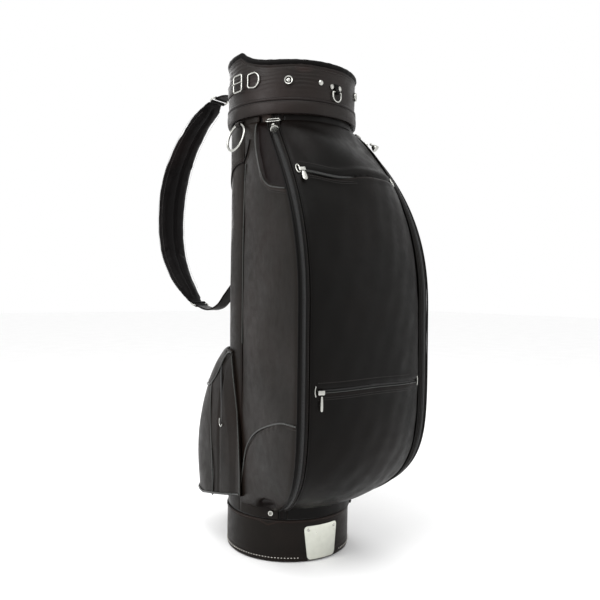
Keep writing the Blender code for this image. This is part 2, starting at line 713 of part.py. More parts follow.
def make_rear_pocket():
    """The ball pocket low on the spine: one hollow shell with a flat floor, open to the body."""
    angles = np.linspace(REAR_END_ANGLE, 180 - REAR_END_ANGLE, 31)
    rise = np.linspace(0, 1, 10)
    heights = REAR_FOOT_Z + (REAR_TOP_Z - REAR_FOOT_Z) * np.sin(rise * math.pi / 2)
    turn = np.radians(angles)
    radii = [np.full_like(turn, SKIN_R + GAP + 0.001)]
    levels = [REAR_FOOT_Z]
    radii += [rear_radius(angles, z) for z in heights]
    levels += list(heights)
    levels[1] += 0.001
    grid = np.stack([np.stack([r * np.cos(turn), r * np.sin(turn), np.full_like(turn, z)], axis=-1)
                     for r, z in zip(radii, levels)])
    normal = normals_of(grid)
    if normal[5, 15, 1] < 0:
        normal = -normal
    inner = grid - REAR_WALL * normal
    lowest = SKIN_R + GAP
    spread = np.hypot(inner[..., 0], inner[..., 1])
    push = np.maximum(lowest / spread, 1.0)
    inner[..., 0] *= push
    inner[..., 1] *= push
    loft("rear_pocket", grid, inner, LEATHER)


# ---------------------------------------------------------------- cuff


def rim_height(angles):
    """The top of the rolled rim: it stands higher round the spine half."""
    high, low = RIM_STEP
    share = np.clip((np.sin(np.radians(angles)) - low) / (high - low), 0.0, 1.0)
    return RIM_FRONT_Z + (RIM_REAR_Z - RIM_FRONT_Z) * share * share * (3 - 2 * share)


def make_cuff():
    """The moulded collar on the tube's end, its leather cover, the lower band and the padded rim."""
    cover_in = CUFF_R - CUFF_WALL
    collar_out = cover_in - GAP
    collar_in = collar_out - COLLAR_WALL
    seat = TUBE_TOP_Z + GAP
    top = seat + COLLAR_TOP_H
    mouth = TUBE_R - TUBE_WALL - DIVIDER_RIM_W
    turned("cuff_collar", ((mouth, top), (collar_out, top), (collar_out, CUFF_FOOT_Z + 0.002),
                           (collar_in, CUFF_FOOT_Z + 0.002), (collar_in, seat), (mouth, seat)), BASE_PLASTIC)

    angles = np.linspace(0, 360, RADIAL_STEPS + 1)[:-1]
    turn = np.radians(angles)
    run = CUFF_R * math.radians(1.0)
    slope = (rim_height(angles + 0.5) - rim_height(angles - 0.5)) / run
    edge = rim_height(angles) - RIM_ROLL_R * (1 + np.sqrt(1 + 1.3 * slope ** 2))
    mesh = bpy.data.meshes.new("cuff_cover")
    cage = bmesh.new()
    loops = []
    for radius, heights in ((CUFF_R, CUFF_FOOT_Z), (CUFF_R, edge), (cover_in, edge), (cover_in, CUFF_FOOT_Z)):
        heights = np.broadcast_to(heights, turn.shape)
        loops.append([cage.verts.new((radius * math.cos(a), radius * math.sin(a), h))
                      for a, h in zip(turn, heights)])
    for first, second in zip(loops, loops[1:] + loops[:1]):
        for i in range(RADIAL_STEPS):
            j = (i + 1) % RADIAL_STEPS
            cage.faces.new((first[i], first[j], second[j], second[i]))
    bmesh.ops.recalc_face_normals(cage, faces=cage.faces)
    cage.to_mesh(mesh)
    cage.free()
    add("cuff_cover", mesh, LEATHER)

    band_in = CUFF_R + GAP
    hoop("cuff_band", band_in, band_in + BAND_WALL, CUFF_FOOT_Z - 0.0005, BAND_TOP_Z, LEATHER)

    middle = CUFF_R - CUFF_WALL / 2
    points = [(middle * math.cos(a), middle * math.sin(a), h - RIM_ROLL_R)
              for a, h in zip(turn, rim_height(angles) + 0.0010)]
    wire("rim_roll", points, RIM_ROLL_R, PADDING, cyclic=True, sides=1)


def belt_outside():
    """The radius of the belt's outer face."""
    return CUFF_R + GAP + BELT_THICK


def make_cuff_fittings():
    """The belt round the cuff's rear with its buckle and keeper, the snaps and the rivets."""
    angles = np.linspace(BELT_END_ANGLE, KEEPER_ANGLE - 6.5, 49)
    cylinder_wall(angles, BELT_Z - BELT_H / 2, BELT_Z + BELT_H / 2, belt_outside(), BELT_THICK,
                  "cuff_belt", LEATHER)

    lift = belt_outside() + GAP + BUCKLE_LIFT
    matrix = on_round(BUCKLE_ANGLE, lift + BUCKLE_WIRE, BELT_Z)
    outline = [(x, y, 0.0) for x, y in rounded(BUCKLE_W, BUCKLE_H, 0.004)]
    wire("buckle_frame", outline, BUCKLE_WIRE, NICKEL, cyclic=True, matrix=matrix)

    bar = BUCKLE_W / 2
    loop = BUCKLE_WIRE + GAP + PRONG_WIRE
    points = [(-bar + x, 0.0, y) for x, y in arc((0, 0), loop, 235, 90, 7)]
    points.append((bar + 0.0008, 0.0, loop))
    prong = wire("buckle_prong", points, PRONG_WIRE, NICKEL, matrix=matrix)
    empty("buckle_prong_axis", matrix @ Vector((-bar, 0, 0)), [prong])

    matrix = on_round(KEEPER_ANGLE, CUFF_R + GAP + KEEPER_WIRE + 0.0003, BELT_Z)
    straight = -KEEPER_W / 2
    round_x = KEEPER_W / 2 - KEEPER_H / 2 + 0.002
    outline = [(x, y, 0.0) for x, y in arc((round_x, 0), KEEPER_H / 2, -80, 80, 11)]
    outline += [(straight + 0.002, KEEPER_H / 2 - 0.002, 0.0), (straight, KEEPER_H / 2 - 0.0045, 0.0),
                (straight, -KEEPER_H / 2 + 0.0045, 0.0), (straight + 0.002, -KEEPER_H / 2 + 0.002, 0.0)]
    keeper = wire("keeper_ring", outline, KEEPER_WIRE, NICKEL, cyclic=True, matrix=matrix)
    empty("keeper_ring_axis", matrix @ Vector((straight, 0, 0)), [keeper])

    for side, angle in SNAP_ANGLES.items():
        stud("snap_" + side, SNAP_R, SNAP_H, on_round(angle, CUFF_R + GAP, SNAP_Z), NICKEL)
    for number, (angle, z) in enumerate(RIVETS, start=1):
        stud(f"cuff_rivet_{number}", RIVET_R, RIVET_H, on_round(angle, CUFF_R + GAP, z), NICKEL)


def loop_tab(name, size, bar_radius, matrix, material, slack=0.0):
    """A leather tab whose lower end is sewn round a bar. Its matrix is at the bar, on the bag's face."""
    width, height, thickness = size
    hole = bar_radius + GAP + slack
    outside = hole + thickness
    centre = (outside, 0.0)
    meet = math.degrees(math.acos((thickness - outside) / outside))
    outline = [(0.0, height)] + arc(centre, outside, 180, 360 + meet, 21) + [(thickness, height)]
    bore = arc(centre, hole, 360, 24, 15)
    stand = matrix @ Matrix.Rotation(math.radians(-90), 4, "Y")
    return flat(name, outline, width, material, stand, [bore]), matrix @ Vector((0, 0, outside))


def make_hanging_rings():
    """The ring at each side seam and the towel ring on the front of the cuff, each in its leather tab."""
    for side, angle in SIDE_ANGLES.items():
        matrix = on_round(angle, SKIN_R + GAP + SIDE_TAB_LIFT, SIDE_RING_Z)
        slack = SIDE_RING_R - math.sqrt(SIDE_RING_R ** 2 - (SIDE_TAB[0] / 2) ** 2)
        _, axis = loop_tab("side_ring_tab_" + side, SIDE_TAB, SIDE_RING_WIRE, matrix, LEATHER, slack)
        swing = matrix.copy()
        swing.translation = axis
        hang = swing @ Matrix.Rotation(math.radians(-SIDE_RING_TILT), 4, "X")
        place = hang @ Matrix.Translation((0, -SIDE_RING_R, 0))
        made = ring("side_ring_" + side, SIDE_RING_R, SIDE_RING_WIRE, place, NICKEL, (28, 6))
        empty("side_ring_axis_" + side, axis, [made])

    matrix = on_round(TOWEL_ANGLE, CUFF_R + GAP, TOWEL_TOP_Z)
    _, axis = loop_tab("towel_ring_tab", TOWEL_TAB, TOWEL_WIRE, matrix, LEATHER)
    swing = matrix.copy()
    swing.translation = axis
    half = TOWEL_RING_R
    outline = [(half, 0.0, 0.0), (half, -half * 0.8, 0.0)]
    outline += [(x, y, 0.0) for x, y in arc((0, -half * 0.8), half, -15, -165, 11)]
    outline += [(-half, -half * 0.8, 0.0), (-half, 0.0, 0.0)]
    made = wire("towel_ring", outline, TOWEL_WIRE, NICKEL, cyclic=True, matrix=swing)
    empty("towel_ring_axis", axis, [made])


# ---------------------------------------------------------------- zips


def pull_outline(width, length):
    """A pull that hangs from its top edge, with round ends."""
    return [(x, y - length / 2) for x, y in rounded(width, length, width * 0.42)]


def make_front_zips():
    """The sliders of the two front zips at their left ends, with the pulls that hang from them."""
    zips = (("upper_zip", UPPER_ZIP_Z, UPPER_ZIP_HALF_W, UPPER_PULL),
            ("lower_zip", LOWER_ZIP_Z, LOWER_ZIP_HALF_W, LOWER_PULL))
    for name, z, half, (width, length, thick) in zips:
        share = -half / float(front_edge(np.array(z))[0])
        matrix = surface_frame(share, z, SLIDER_LIFT + SLIDER[2] / 2)
        slider = block(name + "_slider", SLIDER, matrix, NICKEL, 0.0012)
        reach = SLIDER[1] / 2 + GAP + thick / 2
        hang = matrix @ Matrix.Translation((0, -reach, PULL_LIFT))
        pull = flat(name + "_pull", pull_outline(width, length), thick, NICKEL, hang)
        centre = Vector((0, float(front_arc(np.array(z))[1]), z))
        empty(name + "_pull_axis", hang.translation, [pull])
        empty(name + "_slider_axis", centre, [slider])


def gusset_frame(side, z, lift):
    """The matrix of a flat piece on the gusset's middle, Y up along the zip."""
    sign = 1 if side == "right" else -1

    def point(height):
        height = np.array([height])
        side_x, side_y = side_edge(height)
        front_x, front_y = front_edge(height)
        x, y = bowed((side_x, -side_y), (front_x, -front_y), 0.5, GUSSET_BOW)
        return Vector((sign * float(x[0]), float(y[0]), float(height[0])))

    height = np.array([z])
    across = Vector((float(side_edge(height)[0][0] - front_edge(height)[0][0]) * sign,
                     float(front_edge(height)[1][0] - side_edge(height)[1][0]), 0.0))
    up = point(z + 0.003) - point(z - 0.003)
    normal = across.cross(up).normalized()
    if normal.dot(point(z)) < 0:
        normal = -normal
    return facing(normal, up, point(z) + normal * lift)


def make_side_zips():
    """Each long side zip's end ring under the cuff, its slider below that, and a bell-shaped pull."""
    for side in ("left", "right"):
        ring_place = gusset_frame(side, SIDE_RING_END_Z, SIDE_END_WIRE + 2 * GAP)
        outline = [(x, y, 0.0) for x, y in rounded(SIDE_END_W, SIDE_END_H, SIDE_END_H * 0.46, 4)]
        wire("side_zip_end_ring_" + side, outline, SIDE_END_WIRE, NICKEL, cyclic=True, matrix=ring_place)

        matrix = gusset_frame(side, SIDE_ZIP_Z, SLIDER_LIFT + SLIDER[2] / 2)
        upright = (SLIDER[1] * 0.8, SLIDER[0] * 0.7, SLIDER[2])
        slider = block("side_zip_slider_" + side, upright, matrix, NICKEL, 0.0012)
        reach = upright[1] / 2 + GAP
        hang = matrix @ Matrix.Translation((0, -reach, BELL_LIFT - SLIDER_LIFT - SLIDER[2] / 2))
        stand = hang @ Matrix.Rotation(math.radians(-90), 4, "X")
        bell = turned("bell_pull_" + side, BELL, NICKEL, stand, closed=False, steps=20)
        empty("side_zip_axis_" + side, matrix.translation, [slider])
        empty("bell_axis_" + side, hang.translation, [bell])


def make_rear_zip():
    """The slider and pull of the rear pocket's zip, at its right foot."""
    z = REAR_ZIP_Z

    def point(angle, height):
        radius = float(rear_radius(np.array(angle), np.array(height)))
        return outward(angle) * radius + Vector((0, 0, height))

    up = point(REAR_ZIP_ANGLE, z + 0.003) - point(REAR_ZIP_ANGLE, z - 0.003)
    across = point(REAR_ZIP_ANGLE + 1, z) - point(REAR_ZIP_ANGLE - 1, z)
    normal = across.cross(up).normalized()
    lift = SLIDER_LIFT + SLIDER[2] / 2
    matrix = facing(normal, up, point(REAR_ZIP_ANGLE, z) + normal * lift)
    slider = block("rear_zip_slider", (SLIDER[1], SLIDER[0], SLIDER[2]), matrix, NICKEL, 0.0012)
    width, length, thick = REAR_PULL
    reach = SLIDER[0] / 2 + GAP + thick / 2
    hang = matrix @ Matrix.Translation((0, -reach, PULL_LIFT))
    pull = flat("rear_zip_pull", pull_outline(width, length), thick, NICKEL, hang)
    empty("rear_zip_slider_axis", matrix.translation, [slider])
    empty("rear_zip_pull_axis", hang.translation, [pull])


# ---------------------------------------------------------------- shoulder strap


def strap_point(distance, height):
    """A point in the strap's plane, by its distance from the swing line."""
    return Vector((0, STRAP_LINE_Y, height)) + outward(STRAP_ANGLE) * distance


def anchor(name, radius, height):
    """An upright wire staple on the spine that the strap's tab turns on."""
    reach = STRAP_LINE_Y
    start = radius + GAP
    low, high = height - ANCHOR_H / 2, height + ANCHOR_H / 2
    points = ((0, start, low), (0, reach - 0.001, low), (0, reach, low + 0.001), (0, reach, high - 0.001),
              (0, reach - 0.001, high), (0, start, high))
    wire(name, points, ANCHOR_WIRE, NICKEL)


def strap_frame(route, index):
    """Centre, outward normal and direction of a route of (distance, height) points at one of them."""
    before = Vector(route[max(index - 1, 0)])
    after = Vector(route[min(index + 1, len(route) - 1)])
    run = (after - before).normalized()
    along = outward(STRAP_ANGLE) * run.x + Vector((0, 0, run.y))
    sideways = outward(STRAP_ANGLE - 90)
    return strap_point(*route[index]), sideways.cross(along) * -1, along


def make_tab(name, route):
    """A leather tab that widens from a sleeve round its staple and follows the route to the metal link."""
    sideways = outward(STRAP_ANGLE - 90)
    outer, inner = [], []
    for index in range(len(route)):
        centre, normal, _ = strap_frame(route, index)
        half = (TAB_NECK_W if index == 0 else TAB_W) / 2
        for face, sign in ((outer, 1), (inner, -1)):
            middle = centre + normal * sign * TAB_THICK / 2
            face.append([middle - sideways * half, middle, middle + sideways * half])
    tab = loft(name, np.array(outer), np.array(inner), STRAP_LEATHER)
    hole = ANCHOR_WIRE + GAP
    half = SLEEVE_H / 2
    place = Matrix.Translation((0, STRAP_LINE_Y, route[0][1]))
    profile = ((hole + SLEEVE_THICK, half), (hole + SLEEVE_THICK, -half), (hole, -half), (hole, half))
    sleeve = turned(name + "_sleeve", profile, STRAP_LEATHER, place, steps=20)
    PARTS.objects.unlink(sleeve)
    CUTTERS.objects.link(sleeve)
    sleeve.hide_render = True
    sleeve.display_type = "WIRE"
    join = tab.modifiers.new("Sleeve", "BOOLEAN")
    join.operation = "UNION"
    join.object = sleeve
    return tab


def make_link(name, tab_end, strap_end):
    """The rectangular metal link between a tab and the strap."""
    first, second = strap_point(*tab_end), strap_point(*strap_end)
    along = (second - first).normalized()
    sideways = outward(STRAP_ANGLE - 90)
    length = (second - first).length - 2 * (LINK_WIRE + GAP)
    place = facing(sideways.cross(along), along, (first + second) / 2)
    outline = [(x, y, 0.0) for x, y in rounded(LINK_W, length, 0.003)]
    return wire(name, outline, LINK_WIRE, NICKEL, cyclic=True, matrix=place)


def make_pad():
    """The padded strap: an eight-sided cage along its route, smoothed by subdivision."""
    sideways = outward(STRAP_ANGLE - 90)
    last = len(STRAP_ROUTE) - 1
    cage = bmesh.new()
    loops = []
    for index in range(last + 1):
        centre, normal, _ = strap_frame(STRAP_ROUTE, index)
        fill = max(math.sin(math.pi * index / last), 0.0) ** 0.6
        half_w = (STRAP_END_WIDTH + (STRAP_WIDTH - STRAP_END_WIDTH) * fill) / 2
        half_t = (STRAP_END_THICK + (STRAP_THICK - STRAP_END_THICK) * fill) / 2
        loops.append([cage.verts.new(centre + sideways * half_w * x + normal * half_t * y)
                      for x, y in ((1, -0.6), (1, 0.6), (0.72, 1.1), (0, 1.0), (-0.72, 1.1), (-1, 0.6),
                                   (-1, -0.6), (-0.72, -1.1), (0, -1.0), (0.72, -1.1))])
    for first, second in zip(loops, loops[1:]):
        for i in range(len(first)):
            j = (i + 1) % len(first)
            cage.faces.new((first[i], first[j], second[j], second[i]))
    cage.faces.new(loops[0][::-1])
    cage.faces.new(loops[-1])
    bmesh.ops.recalc_face_normals(cage, faces=cage.faces)
    mesh = bpy.data.meshes.new("shoulder_strap")
    cage.to_mesh(mesh)
    cage.free()
    strap = add("shoulder_strap", mesh, STRAP_LEATHER)
    smooth = strap.modifiers.new("Smooth", "SUBSURF")
    smooth.levels = 1
    smooth.render_levels = 1
    return strap


def make_strap():
    """The padded strap, a metal link at each end and the leather tabs that turn on the spine's staples."""
    anchor("strap_upper_anchor", belt_outside(), UPPER_TAB_ROUTE[0][1])
    anchor("strap_lower_anchor", SKIN_R, LOWER_TAB_ROUTE[0][1])
    pieces = [make_tab("strap_upper_tab", UPPER_TAB_ROUTE), make_tab("strap_lower_tab", LOWER_TAB_ROUTE),
              make_link("strap_upper_link", UPPER_TAB_ROUTE[-1], STRAP_ROUTE[0]),
              make_link("strap_lower_link", LOWER_TAB_ROUTE[-1], STRAP_ROUTE[-1]), make_pad()]
    empty("strap_axis", Vector((0, STRAP_LINE_Y, LOWER_TAB_ROUTE[0][1])), pieces)


def main():
    """Builds every piece."""
    make_base()
    make_club_tube()
    make_body()
    make_partitions()
    make_rear_pocket()
    make_cuff()
    make_cuff_fittings()
    make_hanging_rings()
    make_front_zips()
    make_side_zips()
    make_rear_zip()
    make_strap()


main()
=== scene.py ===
"""Looks of a leather golf staff bag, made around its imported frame.

Metres, +Z up. The front pocket faces -Y, the spine and the shoulder strap +Y, and the bag's left is -X.
Angles round the bag are measured from +X towards +Y, in degrees.
"""

import json
import logging
import math
from collections.abc import Callable, Sequence
from dataclasses import dataclass, field
from enum import Enum

import bmesh
import bpy
import numpy as np
from mathutils import Matrix, Vector

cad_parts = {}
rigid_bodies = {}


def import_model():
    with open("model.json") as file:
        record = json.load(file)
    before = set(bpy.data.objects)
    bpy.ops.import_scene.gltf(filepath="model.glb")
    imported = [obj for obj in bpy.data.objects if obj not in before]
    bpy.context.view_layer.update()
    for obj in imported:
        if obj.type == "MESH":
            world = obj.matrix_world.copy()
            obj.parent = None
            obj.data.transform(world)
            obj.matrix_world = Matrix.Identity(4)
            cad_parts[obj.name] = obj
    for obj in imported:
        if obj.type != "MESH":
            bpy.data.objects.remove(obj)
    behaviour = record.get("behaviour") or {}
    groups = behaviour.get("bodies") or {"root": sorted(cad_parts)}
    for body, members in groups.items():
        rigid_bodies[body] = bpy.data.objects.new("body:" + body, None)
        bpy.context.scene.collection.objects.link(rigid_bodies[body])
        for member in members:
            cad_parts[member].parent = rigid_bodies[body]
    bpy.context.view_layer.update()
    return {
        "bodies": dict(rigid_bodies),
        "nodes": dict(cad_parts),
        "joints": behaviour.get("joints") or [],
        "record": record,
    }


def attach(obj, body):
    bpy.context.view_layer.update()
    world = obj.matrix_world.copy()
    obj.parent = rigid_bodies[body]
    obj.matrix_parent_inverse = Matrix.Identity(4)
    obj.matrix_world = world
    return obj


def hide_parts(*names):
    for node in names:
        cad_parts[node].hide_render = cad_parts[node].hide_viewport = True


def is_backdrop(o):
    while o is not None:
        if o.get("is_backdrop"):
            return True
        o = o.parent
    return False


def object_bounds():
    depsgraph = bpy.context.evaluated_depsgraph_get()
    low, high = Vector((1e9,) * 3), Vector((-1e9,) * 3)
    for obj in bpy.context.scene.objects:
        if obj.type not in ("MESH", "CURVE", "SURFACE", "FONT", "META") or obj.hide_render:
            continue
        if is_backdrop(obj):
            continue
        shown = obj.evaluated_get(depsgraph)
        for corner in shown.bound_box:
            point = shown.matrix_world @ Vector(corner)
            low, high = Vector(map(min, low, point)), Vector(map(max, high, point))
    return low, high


LOG = logging.getLogger("staff_bag")
UP = np.array([0.0, 0.0, 1.0])
CLEARANCE = 0.0003
SKIN_R = 0.1185
CUFF_R = 0.1245
POCKET_FOOT_Z = 0.0805
BELT_Z = 0.8815
UPPER_ZIP_Z = 0.700
LOWER_ZIP_Z = 0.330
Array = np.ndarray
Surface = Callable[[Array, Array], Array]


class Side(Enum):
    """The bag's two sides, with the sign of their X."""

    LEFT = -1
    RIGHT = 1

    @property
    def word(self) -> str:
        """The side's name, as it stands in the names of pieces."""
        return self.name.lower()


# ---------------------------------------------------------------- arrays and meshes


def unit(vectors: Array) -> Array:
    """Vectors scaled to length one.

    Args:
        vectors: an array whose last axis is X, Y, Z.

    Returns:
        The array of unit vectors.
    """
    return vectors / np.maximum(np.linalg.norm(vectors, axis=-1, keepdims=True), 1e-12)


def ease(value: Array) -> Array:
    """A smooth step: 0 below 0, 1 above 1, and 3t² - 2t³ between."""
    share = np.clip(value, 0.0, 1.0)
    return share * share * (3 - 2 * share)


def ridge(distance: Array, width: float) -> Array:
    """A bell curve, e to the minus (distance / width) squared."""
    return np.exp(-((distance / width) ** 2))


def smooth_path(points: Sequence[Sequence[float]], count: int) -> Array:
    """A Catmull-Rom curve through chosen points, evenly spaced in its parameter.

    Args:
        points: the points that the curve goes through.
        count: how many points it returns.

    Returns:
        An array of count points.
    """
    knots = np.asarray(points, float)
    knots = np.concatenate([2 * knots[:1] - knots[1:2], knots, 2 * knots[-1:] - knots[-2:-1]])
    spans = len(knots) - 3
    place = np.linspace(0, spans, count)
    index = np.minimum(place.astype(int), spans - 1)
    t = (place - index)[:, None]
    a, b, c, d = (knots[index + k] for k in range(4))
    return 0.5 * (2 * b + (c - a) * t + (2 * a - 5 * b + 4 * c - d) * t**2 + (3 * b - a - 3 * c + d) * t**3)


def soft_waves(points: Array, height: float, length: float, seed: int) -> Array:
    """Gentle leather waves: the mean of eight sine waves in seeded directions, a little apart in length.

    Args:
        points: points, with X, Y, Z last.
        height: the height of the waves.
        length: the usual length of a wave.
        seed: the seed of the directions.

    Returns:
        A height for each point.
    """
    random = np.random.default_rng(seed)
    directions = unit(random.normal(size=(8, 3)))
    lengths = length * random.uniform(0.6, 1.6, 8)
    phases = random.uniform(0, 2 * np.pi, 8)
    turns = (points @ directions.T) * (2 * np.pi / lengths) + phases
    return height * np.sin(turns).mean(axis=-1) * 2.2


def quads(rows: int, columns: int, wrap_rows: bool = False, wrap_columns: bool = False) -> Array:
    """Indices of the four corners of each cell of a grid.

    Args:
        rows: rows of points.
        columns: columns of points.
        wrap_rows: whether the last row joins the first.
        wrap_columns: whether the last column joins the first.

    Returns:
        An array with one row of four indices for each cell.
    """
    i, j = np.indices((rows - (not wrap_rows), columns - (not wrap_columns)))
    down, across = (i + 1) % rows, (j + 1) % columns
    cells = [i * columns + j, i * columns + across, down * columns + across, down * columns + j]
    return np.stack(cells, axis=-1).reshape(-1, 4)


def tube_faces(rows: int, columns: int, closed: bool = False) -> list:
    """The faces of a tube made of rings: its cells, and a face at each end unless it is a closed ring.

    Args:
        rows: how many rings there are.
        columns: points in each ring.
        closed: whether it is a ring.

    Returns:
        Lists of point indices.
    """
    faces = quads(rows, columns, wrap_rows=closed, wrap_columns=True).tolist()
    if not closed:
        last = (rows - 1) * columns
        faces += [list(range(columns)), list(range(last, last + columns))]
    return faces


def cylinder(angle: Array, radius: Array | float, z: Array | float) -> Array:
    """Points about the bag's axis, by angle in degrees, radius and height."""
    turn = np.radians(angle)
    return np.stack([radius * np.cos(turn), radius * np.sin(turn), z + 0 * turn], axis=-1)


def squash(value: Array, power: float) -> Array:
    """A sine or cosine raised to a power with its sign kept, which squares off a round section."""
    return np.sign(value) * np.abs(value) ** power


def in_plane(outline: Array) -> Array:
    """An (x, y) outline as points with Z at 0."""
    return np.concatenate([outline, np.zeros((len(outline), 1))], axis=1)


def normals_on(surface: Surface, u: Array, v: Array) -> Array:
    """Unit normals of a surface, from differences along its two parameters, away from the bag's axis.

    Args:
        surface: the surface.
        u: its first parameter.
        v: its second parameter.

    Returns:
        A unit normal for each place.
    """
    step = 1e-4
    across = surface(u + step, v) - surface(u - step, v)
    along = surface(u, v + step) - surface(u, v - step)
    normal = unit(np.cross(across, along))
    point = surface(u, v)
    inward = (normal[..., :2] * point[..., :2]).sum(axis=-1, keepdims=True) < 0
    return np.where(inward, -normal, normal)


@dataclass(frozen=True)
class Fit:
    """How a finished piece belongs to the bag.

    Attributes:
        slot: the record's material slot.
        body: the body it rides on.
        replaces: the frame's nodes that it stands for.
    """

    slot: str
    body: str = "bag"
    replaces: tuple[str, ...] = ()


def own(name: str, slot: str = "nickel", body: str = "bag") -> Fit:
    """The fit of a piece that stands for the frame's node of the same name."""
    return Fit(slot, body, (name,))


def make_piece(name: str, points: Array, faces: list, material: bpy.types.Material, fit: Fit,
               tone: Array | None = None, sharp: float = 50.0) -> bpy.types.Object:
    """A finished mesh piece: built, turned outwards, shaded, painted and tied to its body.

    Args:
        name: the piece's name.
        points: its points, any shape with X, Y, Z last.
        faces: lists of point indices.
        material: its material.
        fit: the slot, body and replaced nodes.
        tone: a value for each point, read by the leather as wear above 0 and below 0 as painted shade in a
            near-black red, which in the throat also stands for its red inner leather.
        sharp: the angle past which an edge is shaded sharp, in degrees.

    Returns:
        The object.
    """
    mesh = bpy.data.meshes.new(name)
    mesh.from_pydata(points.reshape(-1, 3).tolist(), [], faces)
    if tone is not None:
        layer = mesh.attributes.new("tone", "FLOAT", "POINT")
        layer.data.foreach_set("value", np.asarray(tone, np.float32).reshape(-1))
    cage = bmesh.new()
    cage.from_mesh(mesh)
    bmesh.ops.recalc_face_normals(cage, faces=cage.faces)
    cage.to_mesh(mesh)
    cage.free()
    mesh.materials.append(material)
    mesh.shade_smooth()
    mesh.set_sharp_from_angle(angle=math.radians(sharp))
    piece = bpy.data.objects.new(name, mesh)
    bpy.context.scene.collection.objects.link(piece)
    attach(piece, fit.body)
    if fit.replaces:
        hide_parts(*fit.replaces)
    LOG.info("%s: %d faces on %s", name, len(mesh.polygons), fit.body)
    return piece


def make_wall(name: str, outer: Array, inner: Array, material: bpy.types.Material, fit: Fit,
              wrap: bool = False, tone: Array | None = None) -> bpy.types.Object:
    """A closed wall between two grids of points.

    Args:
        name: the piece's name.
        outer: the outer grid, rows by columns.
        inner: the inner grid, of the same shape.
        material: its material.
        fit: the slot, body and replaced nodes.
        wrap: whether the columns go all the way round.
        tone: the outer grid's tone.

    Returns:
        The object.
    """
    rows, columns = outer.shape[:2]
    count = rows * columns
    front = quads(rows, columns, wrap_columns=wrap)
    faces = [front, front[:, ::-1] + count]
    index = np.arange(count).reshape(rows, columns)
    edges = [index[0], index[-1]] if wrap else [index[0], index[-1], index[:, 0], index[:, -1]]
    for edge in edges:
        following = np.roll(edge, -1) if wrap else edge[1:]
        first = edge if wrap else edge[:-1]
        faces.append(np.stack([first, following, following + count, first + count], axis=-1))
    both = None if tone is None else np.concatenate([tone.reshape(-1), np.zeros(count)])
    points = np.concatenate([outer.reshape(-1, 3), inner.reshape(-1, 3)])
    return make_piece(name, points, np.concatenate(faces).tolist(), material, fit, both)


def tube_grid(path: Array, reference: Array, radius: Array | float, sides: int, closed: bool,
              flat: float = 1.0) -> Array:
    """Points round a path: path + r·(cos·side + flat·sin·up), with side square to the reference.

    Args:
        path: points along the tube.
        reference: the direction that up stays nearest to, one vector or one for each point.
        radius: one radius, or one for each point.
        sides: points round the tube.
        closed: whether the tube is a ring.
        flat: the height as a share of the width.

    Returns:
        A grid of points along and round.
    """
    if closed:
        tangent = unit(np.roll(path, -1, axis=0) - np.roll(path, 1, axis=0))
    else:
        tangent = unit(np.gradient(path, axis=0))
    side = unit(np.cross(tangent, np.broadcast_to(reference, path.shape)))
    up = np.cross(side, tangent)
    angle = np.linspace(0, 2 * np.pi, sides, endpoint=False)[None, :, None]
    reach = np.broadcast_to(np.asarray(radius, float), path.shape[:1])[:, None, None]
    return path[:, None] + reach * (np.cos(angle) * side[:, None] + flat * np.sin(angle) * up[:, None])


def make_tube(name: str, path: Array, reference: Array, radius: Array | float, material: bpy.types.Material,
              fit: Fit, closed: bool = False, sides: int = 16, flat: float = 1.0) -> bpy.types.Object:
    """A round or oval tube along a path, with its ends closed."""
    grid = tube_grid(path, reference, radius, sides, closed, flat)
    return make_piece(name, grid, tube_faces(len(path), sides, closed), material, fit)


def make_lathe(name: str, profile: Sequence[Sequence[float]], place: Matrix, material: bpy.types.Material,
               fit: Fit, steps: int = 48) -> bpy.types.Object:
    """A turned piece: (radius, height) points swept round its own Z axis, with a flat face at both ends.

    Args:
        name: the piece's name.
        profile: (radius, height) points.
        place: its place, with Z outward.
        material: the material.
        fit: the slot, body and replaced nodes.
        steps: steps round it.

    Returns:
        The object.
    """
    rim = np.asarray(profile, float)
    angle = np.linspace(0, 2 * np.pi, steps, endpoint=False)
    x = rim[:, None, 0] * np.cos(angle)
    y = rim[:, None, 0] * np.sin(angle)
    grid = np.stack([x, y, np.broadcast_to(rim[:, None, 1], x.shape)], axis=-1)
    return make_piece(name, placed(grid, place), tube_faces(len(rim), steps), material, fit)


def placed(points: Array, place: Matrix) -> Array:
    """Points in a place's own axes, carried into the bag's frame."""
    matrix = np.array(place)
    return points @ matrix[:3, :3].T + matrix[:3, 3]


def round_rectangle(width: float, height: float, radius: float, steps: int = 8) -> Array:
    """The outline of a rectangle with round corners about the origin, as (x, y) points.

    Args:
        width: its width.
        height: its height.
        radius: the corners' radius.
        steps: points in each corner.

    Returns:
        The outline.
    """
    quarter = np.radians(np.linspace(0, 90, steps))
    corners = ((1, 1, 0), (-1, 1, 90), (-1, -1, 180), (1, -1, 270))
    arcs = []
    for sign_x, sign_y, start in corners:
        turn = quarter + math.radians(start)
        centre = np.array([sign_x * (width / 2 - radius), sign_y * (height / 2 - radius)])
        arcs.append(centre + radius * np.stack([np.cos(turn), np.sin(turn)], axis=-1))
    return np.concatenate(arcs)


